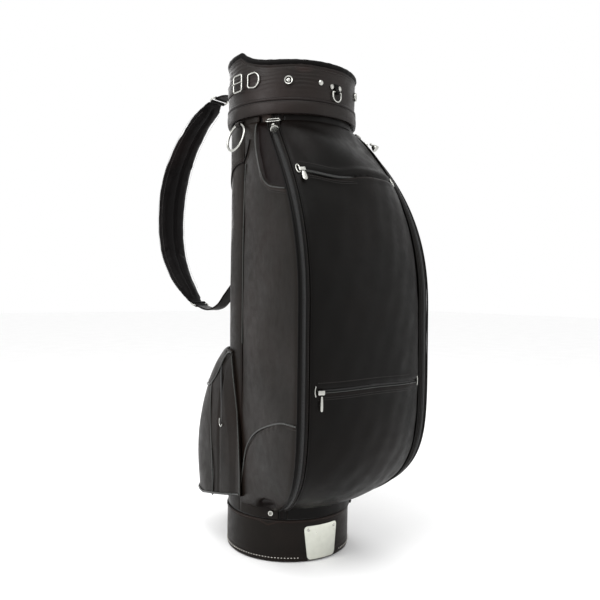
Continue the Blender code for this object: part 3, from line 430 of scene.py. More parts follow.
def make_plate(name: str, outline: Array, thickness: float, bevel: float, place: Matrix,
               material: bpy.types.Material, fit: Fit) -> bpy.types.Object:
    """A flat plate with rounded edges: its outline drawn in by a quarter-round bevel at both faces.

    Args:
        name: the piece's name.
        outline: (x, y) points about the plate's middle.
        thickness: from face to face.
        bevel: the edge's radius.
        place: where the plate's middle lies, with Z out of its face.
        material: its material.
        fit: the slot, body and replaced nodes.

    Returns:
        The object.
    """
    turn = np.radians(np.linspace(0, 90, 5))
    inset = bevel * (1 - np.cos(turn))
    height = thickness / 2 - bevel + bevel * np.sin(turn)
    inset = np.concatenate([inset[::-1], inset])
    height = np.concatenate([height[::-1], -height])
    tangent = unit(np.roll(outline, -1, axis=0) - np.roll(outline, 1, axis=0))
    inward = np.stack([-tangent[:, 1], tangent[:, 0]], axis=-1)
    rings = outline[None] + inset[:, None, None] * inward[None]
    levels = np.broadcast_to(height[:, None, None], (*rings.shape[:2], 1))
    grid = np.concatenate([rings, levels], axis=-1)
    rows, columns = grid.shape[:2]
    faces = quads(rows, columns, wrap_columns=True).tolist()
    last = (rows - 1) * columns
    half = columns // 2
    for start in (0, last):
        faces += [[start + i, start + i + 1, start + columns - 2 - i, start + columns - 1 - i]
                  for i in range(half - 1)]
    return make_piece(name, placed(grid, place), faces, material, fit)


def scatter(shape: Array, faces: Array, origins: Array, along: Array, out: Array) -> tuple[Array, list]:
    """Copies of a small shape at many places.

    Args:
        shape: its points, X along, Y sideways, Z out.
        faces: its faces' indices.
        origins: where each copy goes.
        along: each copy's X direction.
        out: each copy's direction out of the surface.

    Returns:
        The points and faces of all copies.
    """
    x_axis = unit(along)
    y_axis = unit(np.cross(out, x_axis))
    z_axis = np.cross(x_axis, y_axis)
    axes = np.stack([x_axis, y_axis, z_axis], axis=1)
    points = origins[:, None] + shape @ axes
    shifts = np.arange(len(origins))[:, None, None] * len(shape)
    return points, (faces[None] + shifts).reshape(-1, faces.shape[1]).tolist()


def even_stations(path: Array, pitch: float) -> Array:
    """Evenly spaced places along a path, as fractional indices of its points."""
    run = np.concatenate([[0.0], np.cumsum(np.linalg.norm(np.diff(path, axis=0), axis=1))])
    return np.interp(np.arange(pitch / 2, run[-1], pitch), run, np.arange(len(path)))


def at_index(values: Array, index: Array) -> Array:
    """Values read between the rows of an array by a fractional index."""
    steps = np.arange(len(values))
    return np.stack([np.interp(index, steps, values[:, k]) for k in range(values.shape[1])], axis=-1)


def make_row(name: str, rings: Array, path: Array, out: Array, pitch: float, material: bpy.types.Material,
             fit: Fit) -> bpy.types.Object:
    """Copies of a small bar set evenly along a path, as one piece.

    Args:
        name: the piece's name.
        rings: the bar's rings of points, X along the path and Z out of the surface.
        path: the row's points on the surface.
        out: the surface's normal at each point.
        pitch: from copy to copy.
        material: its material.
        fit: the slot, body and replaced nodes.

    Returns:
        The object.
    """
    count, sides = rings.shape[:2]
    index = even_stations(path, pitch)
    along = at_index(np.gradient(path, axis=0), index)
    cells = quads(count, sides, wrap_columns=True)
    origins = at_index(path, index)
    points, faces = scatter(rings.reshape(-1, 3), cells, origins, along, at_index(out, index))
    ends = np.arange(len(index))[:, None] * count * sides + np.arange(sides)
    faces += ends.tolist() + (ends + (count - 1) * sides).tolist()
    return make_piece(name, points, faces, material, fit)


def make_stitches(name: str, path: Array, out: Array, material: bpy.types.Material, fit: Fit,
                  pitch: float = 0.0042, length: float = 0.0029, thick: float = 0.00036) -> bpy.types.Object:
    """A row of thread stitches: short spindles half in the leather, whose radius falls off as a cosine.

    Args:
        name: the piece's name.
        path: the row's points on the surface.
        out: the surface's normal at each point.
        material: the thread.
        fit: the slot, body and replaced nodes.
        pitch: from stitch to stitch.
        length: each stitch's length.
        thick: the thread's radius.

    Returns:
        The object.
    """
    share = np.linspace(-1, 1, 5)
    angle = np.linspace(0, 2 * np.pi, 6, endpoint=False)
    radius = thick * np.maximum(np.cos(share * np.pi / 2), 0.25)
    rings = np.stack([np.broadcast_to(share[:, None] * length / 2, (5, 6)),
                      radius[:, None] * np.cos(angle), radius[:, None] * np.sin(angle)], axis=-1)
    return make_row(name, rings, path, out, pitch, material, fit)


def make_teeth(name: str, path: Array, out: Array, material: bpy.types.Material, fit: Fit,
               pitch: float = 0.0021, width: float = 0.0042, height: float = 0.0011) -> bpy.types.Object:
    """A closed zip: interlocked teeth, each a low six-sided bar across the path.

    Args:
        name: the piece's name.
        path: the zip's points on the surface.
        out: the surface's normal at each point.
        material: the material.
        fit: the slot, body and replaced nodes.
        pitch: the distance from one to the next.
        width: its width.
        height: its height.

    Returns:
        The object.
    """
    angle = np.linspace(0, 2 * np.pi, 6, endpoint=False)
    ends = np.array([-1.0, -0.86, 0.86, 1.0]) * width / 2
    swell = np.array([0.45, 1.0, 1.0, 0.45])
    rings = np.stack([swell[:, None] * np.cos(angle) * pitch * 0.36, np.broadcast_to(ends[:, None], (4, 6)),
                      swell[:, None] * np.sin(angle) * height / 2], axis=-1)
    return make_row(name, rings, path, out, pitch, material, fit)


def outward(angle: float) -> Array:
    """The unit vector that points away from the bag's axis at an angle in degrees."""
    turn = math.radians(angle)
    return np.array([math.cos(turn), math.sin(turn), 0.0])


def facing(normal: Array, up: Array, point: Array) -> Matrix:
    """A place with Z along a normal and Y as near to up as that allows.

    Args:
        normal: the direction of Z.
        up: the direction that Y stays near to.
        point: the place's origin.

    Returns:
        The place.
    """
    z_axis = unit(np.asarray(normal, float))
    x_axis = unit(np.cross(up, z_axis))
    y_axis = np.cross(z_axis, x_axis)
    place = Matrix(np.stack([x_axis, y_axis, z_axis], axis=1).tolist()).to_4x4()
    place.translation = Vector([float(value) for value in point])
    return place


def on_round(angle: float, radius: float, height: float) -> Matrix:
    """A place on the round bag: X sideways, Y up, Z outward."""
    normal = outward(angle)
    return facing(normal, UP, normal * radius + UP * height)


# ---------------------------------------------------------------- finishes


class Nodes:
    """A short way to write a material's node tree."""

    def __init__(self, name: str) -> None:
        """Starts a material with a Principled shader."""
        self.material = bpy.data.materials.new(name)
        self.material.use_nodes = True
        self.tree = self.material.node_tree
        self.shader = self.tree.nodes["Principled BSDF"]

    def add(self, kind: str, inputs: dict | None = None, **settings: object) -> bpy.types.Node:
        """A node with settings and inputs, where an input is a value or another node's socket.

        Args:
            kind: the node's type.
            inputs: sockets by name or index.
            **settings: the node's properties.

        Returns:
            The node.
        """
        node = self.tree.nodes.new(kind)
        for key, value in settings.items():
            setattr(node, key, value)
        for key, value in (inputs or {}).items():
            self.feed(node.inputs[key], value)
        return node

    def feed(self, socket: bpy.types.NodeSocket, value: object) -> None:
        """Links a socket, or sets its value."""
        if isinstance(value, bpy.types.NodeSocket):
            self.tree.links.new(value, socket)
        else:
            socket.default_value = value

    def place(self) -> bpy.types.NodeSocket:
        """The object's own coordinates."""
        return self.add("ShaderNodeTexCoord").outputs["Object"]

    def noise(self, scale: float, detail: float = 3.0, stretch: tuple = (1, 1, 1)) -> bpy.types.NodeSocket:
        """Noise on the object's coordinates, with a scale in waves for each metre."""
        mapping = self.add("ShaderNodeMapping", {"Vector": self.place(), "Scale": stretch})
        inputs = {"Vector": mapping.outputs[0], "Scale": scale, "Detail": detail}
        return self.add("ShaderNodeTexNoise", inputs).outputs["Fac"]

    def span(self, value: object, low: float, high: float, to_low: float,
             to_high: float) -> bpy.types.NodeSocket:
        """A value carried from one range to another, held at its ends."""
        node = self.add("ShaderNodeMapRange", {"Value": value, "From Min": low, "From Max": high,
                                               "To Min": to_low, "To Max": to_high})
        return node.outputs["Result"]

    def mix(self, share: object, first: object, second: object) -> bpy.types.NodeSocket:
        """Two colours mixed by a share."""
        node = self.add("ShaderNodeMix", data_type="RGBA")
        for socket, value in ((node.inputs[0], share), (node.inputs[6], first), (node.inputs[7], second)):
            self.feed(socket, value)
        return node.outputs[2]

    def maths(self, operation: str, first: object, second: object) -> bpy.types.NodeSocket:
        """One step of arithmetic."""
        return self.add("ShaderNodeMath", {0: first, 1: second}, operation=operation).outputs[0]

    def bump(self, height: object, distance: float, strength: float = 1.0,
             under: bpy.types.NodeSocket | None = None) -> bpy.types.NodeSocket:
        """A bump on top of another normal.

        Args:
            height: the height at each point.
            distance: how high it is in metres.
            strength: the bump's strength.
            under: the normal below it.

        Returns:
            The normal.
        """
        inputs = {"Height": height, "Distance": distance, "Strength": strength}
        if under is not None:
            inputs["Normal"] = under
        return self.add("ShaderNodeBump", inputs).outputs[0]

    def finish(self, **sockets: object) -> bpy.types.Material:
        """Feeds the shader's sockets, written with underscores for spaces, and returns the material."""
        for key, value in sockets.items():
            self.feed(self.shader.inputs[key.replace("_", " ")], value)
        return self.material


def rgba(colour: Sequence[float], gain: float = 1.0) -> tuple[float, float, float, float]:
    """A colour with alpha, scaled by a gain."""
    red, green, blue = (channel * gain for channel in colour)
    return red, green, blue, 1.0


@dataclass(frozen=True)
class LeatherFinish:
    """Polished cowhide: fine pebble grain, pull-up patches, faint red undertone, burnished edges, and
    painted shade in a near-black red where a piece's tone is below 0.
    """

    name: str
    colour: tuple[float, float, float]
    warm: tuple[float, float, float]
    roughness: float = 0.38
    grain: float = 0.00012
    creases: float = 0.0006
    gloss: float = 0.12

    def build(self) -> bpy.types.Material:
        """The material."""
        nodes = Nodes(self.name)
        patches = nodes.span(nodes.noise(7.0, 4.0), 0.42, 0.66, 0.0, 1.0)
        cloudy = nodes.span(nodes.noise(26.0, 5.0), 0.35, 0.7, 0.0, 1.0)
        base = nodes.mix(nodes.maths("MULTIPLY", patches, 0.65), rgba(self.colour), rgba(self.warm))
        base = nodes.mix(nodes.maths("MULTIPLY", cloudy, 0.35), base, rgba(self.colour, 1.5))
        tone = nodes.add("ShaderNodeAttribute", attribute_name="tone").outputs["Fac"]
        worn = nodes.span(tone, 0.0, 1.0, 0.0, 0.8)
        # Below 0 the tone is painted shade: recesses, channels and grooves are mixed towards a near-black
        # red, which in the throat also stands for its red inner leather.
        inset = nodes.span(tone, 0.0, -1.0, 0.0, 1.0)
        base = nodes.mix(worn, base, rgba(self.warm, 1.7))
        base = nodes.mix(inset, base, (0.0032, 0.0013, 0.0011, 1.0))
        pores = nodes.add("ShaderNodeTexVoronoi", {"Vector": nodes.place(), "Scale": 780.0},
                          feature="DISTANCE_TO_EDGE").outputs["Distance"]
        pebble = nodes.span(pores, 0.0, 0.28, 0.0, 1.0)
        fine = nodes.maths("MULTIPLY", nodes.noise(420.0, 3.0), 0.8)
        crease = nodes.bump(nodes.noise(34.0, 4.0, (1.0, 1.0, 0.55)), self.creases, 0.8)
        grain = nodes.bump(nodes.maths("ADD", pebble, fine), self.grain, 0.55, crease)
        matt = nodes.span(nodes.noise(60.0, 4.0), 0.3, 0.7, self.roughness - 0.06, self.roughness + 0.08)
        return nodes.finish(Base_Color=base, Roughness=matt, Normal=grain, Specular_IOR_Level=self.gloss)


@dataclass(frozen=True)
class MetalFinish:
    """Plated metal with fine handling marks, or a brushed grain along one direction."""

    name: str
    colour: tuple[float, float, float]
    roughness: float
    brushed: bool = False

    def build(self) -> bpy.types.Material:
        """The material."""
        nodes = Nodes(self.name)
        smudge = nodes.noise(90.0, 5.0)
        base = nodes.mix(nodes.span(smudge, 0.3, 0.7, 0.0, 0.4), rgba(self.colour), rgba(self.colour, 0.86))
        rough = nodes.span(smudge, 0.3, 0.75, self.roughness * 0.75, self.roughness * 1.4)
        stretch = (0.03, 0.03, 1.0) if self.brushed else (1.0, 1.0, 1.0)
        scratch = nodes.noise(2600.0 if self.brushed else 700.0, 2.0, stretch)
        normal = nodes.bump(scratch, 0.00003, 0.5 if self.brushed else 0.12)
        return nodes.finish(Base_Color=base, Roughness=rough, Normal=normal, Metallic=1.0)


@dataclass(frozen=True)
class WovenFinish:
    """Woven cloth or zip tape: two crossed waves with thread-scale fuzz."""

    name: str
    colour: tuple[float, float, float]
    thread: float = 0.0009
    roughness: float = 0.85

    def build(self) -> bpy.types.Material:
        """The material."""
        nodes = Nodes(self.name)
        scale = 1.0 / self.thread
        waves = []
        for axis in ("X", "Y", "Z"):
            inputs = {"Vector": nodes.place(), "Scale": scale / 6.28, "Distortion": 0.4}
            waves.append(nodes.add("ShaderNodeTexWave", inputs, bands_direction=axis).outputs["Fac"])
        weave = nodes.maths("MAXIMUM", nodes.maths("MAXIMUM", waves[0], waves[1]), waves[2])
        patches = nodes.span(nodes.noise(40.0), 0.3, 0.7, 0.0, 1.0)
        shade = nodes.mix(patches, rgba(self.colour), rgba(self.colour, 1.4))
        normal = nodes.bump(nodes.maths("ADD", weave, nodes.noise(900.0)), 0.0002, 0.6)
        return nodes.finish(Base_Color=shade, Roughness=self.roughness, Normal=normal)


@dataclass(frozen=True)
class MouldedFinish:
    """Moulded plastic or board with a spark-eroded texture."""

    name: str
    colour: tuple[float, float, float]
    roughness: float = 0.5

    def build(self) -> bpy.types.Material:
        """The material."""
        nodes = Nodes(self.name)
        speck = nodes.noise(650.0, 4.0)
        patches = nodes.span(nodes.noise(12.0), 0.3, 0.7, 0.0, 1.0)
        base = nodes.mix(patches, rgba(self.colour), rgba(self.colour, 1.35))
        rough = nodes.span(speck, 0.3, 0.7, self.roughness - 0.08, self.roughness + 0.08)
        return nodes.finish(Base_Color=base, Roughness=rough, Normal=nodes.bump(speck, 0.0001, 0.4))


def built(finish: LeatherFinish | MetalFinish | WovenFinish | MouldedFinish) -> bpy.types.Material:
    """A field whose material is built when the finishes are made."""
    return field(default_factory=finish.build)


@dataclass
class Finishes:
    """Every finish on the bag, each material built once."""

    side: bpy.types.Material = built(LeatherFinish(
        "side_leather", (0.0066, 0.0052, 0.0042), (0.0115, 0.0068, 0.0052), gloss=0.09))
    front: bpy.types.Material = built(LeatherFinish(
        "front_leather", (0.0020, 0.0017, 0.0014), (0.0042, 0.0025, 0.0020), gloss=0.09))
    cuff: bpy.types.Material = built(LeatherFinish(
        "cuff_leather", (0.0075, 0.0060, 0.0050), (0.014, 0.0075, 0.0065), 0.40, gloss=0.16))
    strap: bpy.types.Material = built(LeatherFinish(
        "strap_leather", (0.0020, 0.0014, 0.0014), (0.0060, 0.0022, 0.0020), 0.50, gloss=0.08))
    padding: bpy.types.Material = built(LeatherFinish(
        "padded_leather", (0.0016, 0.0014, 0.0013), (0.0026, 0.0018, 0.0016), 0.48, gloss=0.07))
    piping: bpy.types.Material = built(LeatherFinish(
        "piping_leather", (0.0120, 0.0135, 0.0115), (0.018, 0.0190, 0.0165), 0.30, 0.00005, 0.0001, 0.45))
    nickel: bpy.types.Material = built(MetalFinish("nickel", (0.47, 0.47, 0.44), 0.22))
    badge: bpy.types.Material = built(MetalFinish("badge_steel", (0.66, 0.67, 0.60), 0.36, True))
    thread: bpy.types.Material = built(MouldedFinish("dark_thread", (0.020, 0.017, 0.015), 0.6))
    pale_thread: bpy.types.Material = built(MouldedFinish("pale_thread", (0.60, 0.57, 0.52), 0.6))
    tape: bpy.types.Material = built(WovenFinish("zip_tape", (0.006, 0.006, 0.006)))
    teeth: bpy.types.Material = built(MouldedFinish("zip_teeth", (0.010, 0.010, 0.010), 0.35))
    lining: bpy.types.Material = built(WovenFinish("lining", (0.030, 0.020, 0.016), 0.0012))
    plastic: bpy.types.Material = built(MouldedFinish("base_plastic", (0.009, 0.009, 0.009)))


# ---------------------------------------------------------------- the bag's form


@dataclass(frozen=True)
class BodyForm:
    """The plan of the body at each height, from the spine seam round the pockets to the front centre."""

    skin_r: float = SKIN_R
    seam: float = -3.0
    top: float = 0.8155
    pocket_top: float = 0.805
    widest: float = 0.46
    pocket_foot: float = 0.098
    foot: float = POCKET_FOOT_Z
    side: tuple = ((0.0995, 0.0647), (0.155, 0.221), (0.090, 0.087))
    front: tuple = ((0.0854, 0.0825), (0.131, 0.222), (0.0765, 0.097))
    crown: tuple = (0.0362, 0.022, 0.0265)
    side_powers: tuple[float, float] = (0.5, 0.9)
    front_powers: tuple[float, float] = (0.4, 0.6)
    side_bow: float = 0.0058
    gusset_bow: float = 0.0025

    def fullness(self, z: Array) -> Array:
        """1 - up^2.3 above the widest height and (1 - down^6.5)^0.88 below it."""
        up = np.clip((z - self.widest) / (self.pocket_top - self.widest), 0, 1)
        down = np.clip((self.widest - z) / (self.widest - self.pocket_foot), 0, 1)
        return np.where(z > self.widest, 1 - up**2.3, (1 - down**6.5) ** 0.88)

    def between(self, z: Array, sizes: Sequence[float], above: float = 1.0, below: float = 1.0) -> Array:
        """A size at the top, the widest height and the foot, carried along a power of the fullness.

        Args:
            z: the height.
            sizes: the sizes at the top, the widest height and the foot.
            above: the power above the widest height.
            below: the power below it.

        Returns:
            The size at each height.
        """
        share = self.fullness(z)
        top, full, foot = sizes
        high = top + (full - top) * share**above
        low = foot + (full - foot) * share**below
        return np.where(z > self.widest, high, low)

    def corner(self, z: Array, sizes: tuple, above: float, below: float) -> tuple[Array, Array]:
        """Half width and depth of one of the pocket's long edges."""
        return (self.between(z, [pair[0] for pair in sizes], above, below),
                self.between(z, [pair[1] for pair in sizes]))

    def bowed(self, start: tuple, end: tuple, share: Array, bow: float) -> tuple[Array, Array]:
        """A straight plan line pushed outwards by bow·sin(pi·share)."""
        run_x, run_y = end[0] - start[0], end[1] - start[1]
        push = bow * np.sin(np.pi * np.clip(share, 0, 1)) / np.hypot(run_x, run_y)
        return start[0] + run_x * share - run_y * push, start[1] + run_y * share + run_x * push

    def edges(self, z: Array) -> tuple[tuple, tuple, tuple]:
        """The seam, the side edge and the front edge on the right, as plan points."""
        seam = outward(self.seam) * self.skin_r
        side_x, side_y = self.corner(z, self.side, *self.side_powers)
        front_x, front_y = self.corner(z, self.front, *self.front_powers)
        return (seam[0] + 0 * z, seam[1] + 0 * z), (side_x, -side_y), (front_x, -front_y)

    def side_panel(self, sign: int) -> Surface:
        """The side panel: share 0 at the spine seam, 1 at the side zip.

        Args:
            sign: the side's sign.

        Returns:
            The surface.
        """
        def surface(share: Array, z: Array) -> Array:
            """A point of the side panel."""
            seam, side, _ = self.edges(z)
            x, y = self.bowed(seam, side, share, self.side_bow)
            return np.stack([sign * x, y, z + 0 * share], axis=-1)
        return surface

    def gusset(self, sign: int) -> Surface:
        """The gusset: share 0 at the side zip, 1 at the front panel.

        Args:
            sign: the side's sign.

        Returns:
            The surface.
        """
        def surface(share: Array, z: Array) -> Array:
            """A point of the gusset."""
            _, side, front = self.edges(z)
            x, y = self.bowed(side, front, share, self.gusset_bow)
            return np.stack([sign * x, y, z + 0 * share], axis=-1)
        return surface

    def front_panel(self, share: Array, z: Array) -> Array:
        """The front panel: a plan arc through both front edges, share -1 at the left and 1 at the right.

        Args:
            share: the share of the way across.
            z: the height.

        Returns:
            Points of the panel.
        """
        _, _, (half, _) = self.edges(z)
        depth = self.corner(z, self.front, *self.front_powers)[1]
        crown = self.between(z, self.crown)
        radius = (half**2 + crown**2) / (2 * crown)
        swing = np.arcsin(half / radius) * share
        y = radius - depth - crown - radius * np.cos(swing)
        return np.stack([radius * np.sin(swing), y, z + 0 * share], axis=-1)

    def spine(self, angle: Array, z: Array) -> Array:
        """The round spine panel, by its angle in degrees."""
        return cylinder(angle, self.skin_r, z)


@dataclass
class Seamwork:
    """Piping, stitch rows and zips that follow a line on a surface."""

    finishes: Finishes
    piping_r: float = 0.0016

    def trace(self, surface: Surface, line: Sequence[Sequence[float]], count: int,
              lift: float) -> tuple[Array, Array]:
        """A smooth line of (u, v) points on a surface, lifted, with the surface's normals."""
        places = smooth_path(line, count)
        normal = normals_on(surface, places[:, 0], places[:, 1])
        return surface(places[:, 0], places[:, 1]) + normal * lift, normal

    def piping(self, name: str, surface: Surface, line: Sequence[Sequence[float]], radius: float = 0.0,
               lift: float = 0.0008, slot: str = "body_leather", material: bpy.types.Material | None = None,
               count: int = 150) -> None:
        """A leather cord sewn along a line.

        Args:
            name: the piece's name.
            surface: the surface.
            line: (u, v) points on the surface.
            radius: the radius.
            lift: how far it stands off the surface.
            slot: the material slot.
            material: the material.
            count: how many points it gets.
        """
        path, normal = self.trace(surface, line, count, lift)
        make_tube(name, path, normal, radius or self.piping_r, material or self.finishes.piping, Fit(slot),
                  sides=10)

    def stitches(self, name: str, surface: Surface, line: Sequence[Sequence[float]], lift: float = 0.0004,
                 slot: str = "body_leather", pale: bool = False, pitch: float = 0.0042) -> None:
        """A row of stitches along a line.

        Args:
            name: the piece's name.
            surface: the surface.
            line: (u, v) points on the surface.
            lift: how far it stands off the surface.
            slot: the material slot.
            pale: whether the thread is pale and thick.
            pitch: the distance from one to the next.
        """
        path, normal = self.trace(surface, line, 240, lift)
        thread = self.finishes.pale_thread if pale else self.finishes.thread
        make_stitches(name, path, normal, thread, Fit(slot), pitch, pitch * (0.5 if pale else 0.68),
                      0.0008 if pale else 0.0004)

    def zip(self, name: str, surface: Surface, line: Sequence[Sequence[float]], lift: float,
            slot: str = "front_leather", width: float = 0.011, body: str = "bag") -> None:
        """A strip of zip tape with its row of teeth.

        Args:
            name: the piece's name.
            surface: the surface.
            line: (u, v) points on the surface.
            lift: how far it stands off the surface.
            slot: the material slot.
            width: its width.
            body: the body it rides on.
        """
        path, normal = self.trace(surface, line, 240, lift)
        across = unit(np.cross(np.gradient(path, axis=0), normal))
        shares = np.array([-0.5, -0.17, 0.17, 0.5])
        strip = path[:, None] + across[:, None] * (shares * width)[None, :, None]
        make_wall(name + "_tape", strip + normal[:, None] * 0.0002, strip - normal[:, None] * 0.0003,
                  self.finishes.tape, Fit("lining", body))
        make_teeth(name + "_teeth", path + normal * 0.0006, normal, self.finishes.teeth, Fit(slot, body))


# ---------------------------------------------------------------- body panels


@dataclass
class BodyPanels:
    """The spine, side, gusset and front panels in leather over board, with their piping and stitching."""

    form: BodyForm
    finishes: Finishes
    seams: Seamwork
    wall: float = 0.0026
    upper_zip_z: float = UPPER_ZIP_Z
    lower_zip_z: float = LOWER_ZIP_Z
    yoke_low: float = 0.655
    yoke_rise: float = 0.080
    throat_depth: float = 0.0048
    drain: tuple[float, float, float] = (0.70, 0.112, 0.0075)
    scoop_side: tuple = ((0.665, 0.70), (0.677, 0.63), (0.698, 0.58), (0.747, 0.545), (0.80, 0.64))
    scoop_foot: tuple = ((0.0, 0.72), (0.58, 0.692), (0.70, 0.677), (0.94, 0.666), (1.0, 0.665))
    patch_top: tuple = ((0.0, 0.110), (0.0875, 0.163), (0.171, 0.208), (0.381, 0.245), (0.753, 0.274),
                        (1.0, 0.278))

    def rows(self, count: int) -> Array:
        """Heights from the foot to the top, closer together where the foot curls under."""
        curl = np.sin(np.linspace(np.pi / 2, 0, count // 3))
        low = self.form.widest - (self.form.widest - self.form.pocket_foot) * curl
        high = np.linspace(self.form.widest, self.form.top, count - len(low))
        return np.concatenate([[self.form.foot], low, high[1:]])

    def panel(self, name: str, surface: Surface, shares: Array, rows: int, rise: Callable, slot: str,
              material: bpy.types.Material) -> bpy.types.Object:
        """A panel with a thickness, raised and sunk by a function that also gives its tone.

        Args:
            name: the piece's name.
            surface: the surface.
            shares: where its columns of points lie.
            rows: how many rows of points it gets.
            rise: gives height and tone from share, z and points.
            slot: the material slot.
            material: the material.

        Returns:
            The object.
        """
        u, z = np.meshgrid(shares, self.rows(rows))
        points = surface(u, z)
        normal = normals_on(surface, u, z)
        height, tone = rise(u, z, points)
        outer = points + normal * height[..., None]
        inner = points - normal * (self.wall - np.minimum(height, 0.0))[..., None]
        return make_wall(name, outer, inner, material, own(name, slot), tone=tone)

    def build(self) -> None:
        """Builds every panel and its trim."""
        self.spine()
        for side in Side:
            self.side_panel(side)
            self.gusset(side)
        self.front()
        self.front_trim()

    def yoke(self, angle: Array) -> Array:
        """The height of the yoke's seam round the spine: lowest behind and rising as the cosine's square."""
        return self.yoke_low + self.yoke_rise * np.cos(np.radians(angle)) ** 2

    def spine(self) -> None:
        """The round back panel with the yoke's seam across it."""
        def rise(angle: Array, z: Array, points: Array) -> tuple[Array, Array]:
            """Soft waves, less the groove of the yoke's seam.

            Args:
                angle: the angle in degrees.
                z: the height.
                points: points, with X, Y, Z last.

            Returns:
                Each point's height and tone.
            """
            seam = z - self.yoke(angle)
            edge = np.minimum(angle - angle.min(), angle.max() - angle)
            height = soft_waves(points, 0.0005, 0.11, 3) - 0.0012 * ridge(seam, 0.0014)
            height += 0.0009 * ease(seam / 0.002) * ease((angle - angle.min()) / 6) * ease(edge / 4)
            return height - 0.0008 * ridge(edge, 1.0), 0.5 * ridge(seam - 0.003, 0.002)

        angles = np.linspace(self.form.seam + 0.2, 180 - self.form.seam - 0.2, 110)
        self.panel("spine_panel", self.form.spine, angles, 170, rise, "body_leather", self.finishes.side)
        for number, gap in enumerate((0.0045, 0.0080)):
            line = [(a, float(self.yoke(a)) + gap) for a in np.linspace(0, 180, 13)]
            self.seams.stitches(f"yoke_stitch_{number}", self.form.spine, line, 0.0012)
        cord = [(a, float(self.yoke(a))) for a in np.linspace(-2.0, 182.0, 41)]
        self.seams.piping("yoke_piping", self.form.spine, cord, 0.0013, 0.0004,
                          material=self.finishes.padding)
        for number, angle in enumerate((87.5, 92.5)):
            line = [(angle, z) for z in (0.40, 0.50, 0.62, 0.64)]
            self.seams.stitches(f"spine_stitch_{number}", self.form.spine, line)

    def side_panel(self, side: Side) -> None:
        """A side panel: the sunk throat under the cuff, the patch pocket low down, and its seams.

        Args:
            side: the side.
        """
        sign, word = side.value, side.word
        surface = self.form.side_panel(sign)
        scoop = np.array(self.scoop_side)
        floor = np.array(self.scoop_foot)
        patch = np.array(self.patch_top)
        drain_share, drain_z, drain_depth = self.drain

        def rise(share: Array, z: Array, points: Array) -> tuple[Array, Array]:
            """Waves, the sunk throat with a raised edge, the patch raised by 1.5 mm, and the drain's hollow.

            Args:
                share: the share of the way across.
                z: the height.
                points: points, with X, Y, Z last.

            Returns:
                Each point's height and tone.
            """
            from_side = (share - np.interp(z, scoop[:, 0], scoop[:, 1])) * 0.19
            from_foot = z - np.interp(share, floor[:, 0], floor[:, 1])
            depth = np.minimum(from_side, from_foot)
            throat = ease(depth / 0.0045)
            above = np.interp(share, patch[:, 0], patch[:, 1]) - z
            height = soft_waves(points, 0.0011, 0.13, 11 + sign) - self.throat_depth * throat
            height += 0.0012 * ridge(depth + 0.003, 0.004) + 0.0015 * ease(above / 0.003)
            height -= 0.0016 * ridge(1 - share, 0.035) + 0.0012 * ridge(share, 0.03)
            hollow = ease(2.2 * ridge((share - drain_share) * 0.09, 0.013) * ridge(z - drain_z, 0.012))
            crease = z - (0.751 - 0.10 * (0.30 - share)) + 0.03 * np.clip(share - 0.3, 0, 1)
            height -= drain_depth * hollow + 0.0009 * ridge(crease, 0.0012) * (share < 0.28)
            # Tone: the raised edges round the throat and under the patch's top are worn lighter. The sunk
            # throat is painted near-black red, partly its red inner leather and partly painted shade. The
            # drain's hollow is painted dark as painted shade.
            tone = 0.55 * ridge(depth + 0.004, 0.003) + 0.35 * ridge(above - 0.002, 0.002) - throat - hollow
            return height, tone

        self.panel("side_panel_" + word, surface, np.linspace(0.004, 0.996, 90), 260, rise, "body_leather",
                   self.finishes.side)
        edge = [(0.64, 0.798), (0.575, 0.775), (0.54, 0.747), (0.575, 0.700), (0.69, 0.6775), (0.86, 0.669),
                (0.985, 0.665)]
        self.seams.piping(f"throat_piping_{word}", surface, edge, 0.0012, 0.0010)
        for number, drop in enumerate((0.0055, 0.0095)):
            line = [(s, z - drop) for s, z in ((0.60, 0.690), (0.70, 0.6765), (0.86, 0.669), (0.975, 0.665))]
            self.seams.stitches(f"throat_stitch_{word}_{number}", surface, line, 0.0008)
        self.seams.piping(f"patch_piping_{word}", surface, self.patch_top, 0.0014, 0.0016)
        row = [(s, z - 0.006) for s, z in self.patch_top]
        self.seams.stitches(f"patch_stitch_{word}", surface, row, 0.0018)
        yoke = [(0.34, 0.772), (0.24, 0.757), (0.12, 0.744), (0.0, 0.735)]
        self.seams.piping(f"yoke_piping_{word}", surface, yoke, 0.0013, 0.0004,
                          material=self.finishes.padding)
        line = [(0.10, 0.730), (0.05, 0.680), (0.015, 0.61), (0.010, 0.50), (0.010, 0.395)]
        self.seams.piping(f"side_seam_piping_{word}", surface, line, 0.0013, 0.0002)
        eyelet = on_round(180.0 + 37.7 if side is Side.LEFT else -37.7, self.form.skin_r + 0.0068, 0.0905)
        profile = ((0.0022, -0.001), (0.0022, 0.0006), (0.003, 0.0014), (0.0046, 0.0013), (0.0052, 0.0003),
                   (0.0050, -0.001))
        make_lathe(f"drain_eyelet_{word}", profile, eyelet, self.finishes.nickel, Fit("nickel"), 32)

    def gusset(self, side: Side) -> None:
        """A gusset: leather strips each side of a sunk channel that holds the long zip.

        Args:
            side: the side.
        """
        sign, word = side.value, side.word
        surface = self.form.gusset(sign)

        def rise(share: Array, z: Array, points: Array) -> tuple[Array, Array]:
            """A channel 2 mm deep along the middle, with rolled edges.

            Args:
                share: the share of the way across.
                z: the height.
                points: points, with X, Y, Z last.

            Returns:
                Each point's height and tone.
            """
            channel = ease((0.20 - np.abs(share - 0.42)) / 0.09)
            height = soft_waves(points, 0.0004, 0.07, 21) - 0.0020 * channel
            height += 0.0006 * (ridge(share - 0.14, 0.07) + ridge(share - 0.70, 0.07))
            height -= 0.0010 * (ridge(share, 0.06) + ridge(1 - share, 0.06))
            # The sunk channel is painted dark: painted shade.
            return height, -0.8 * channel

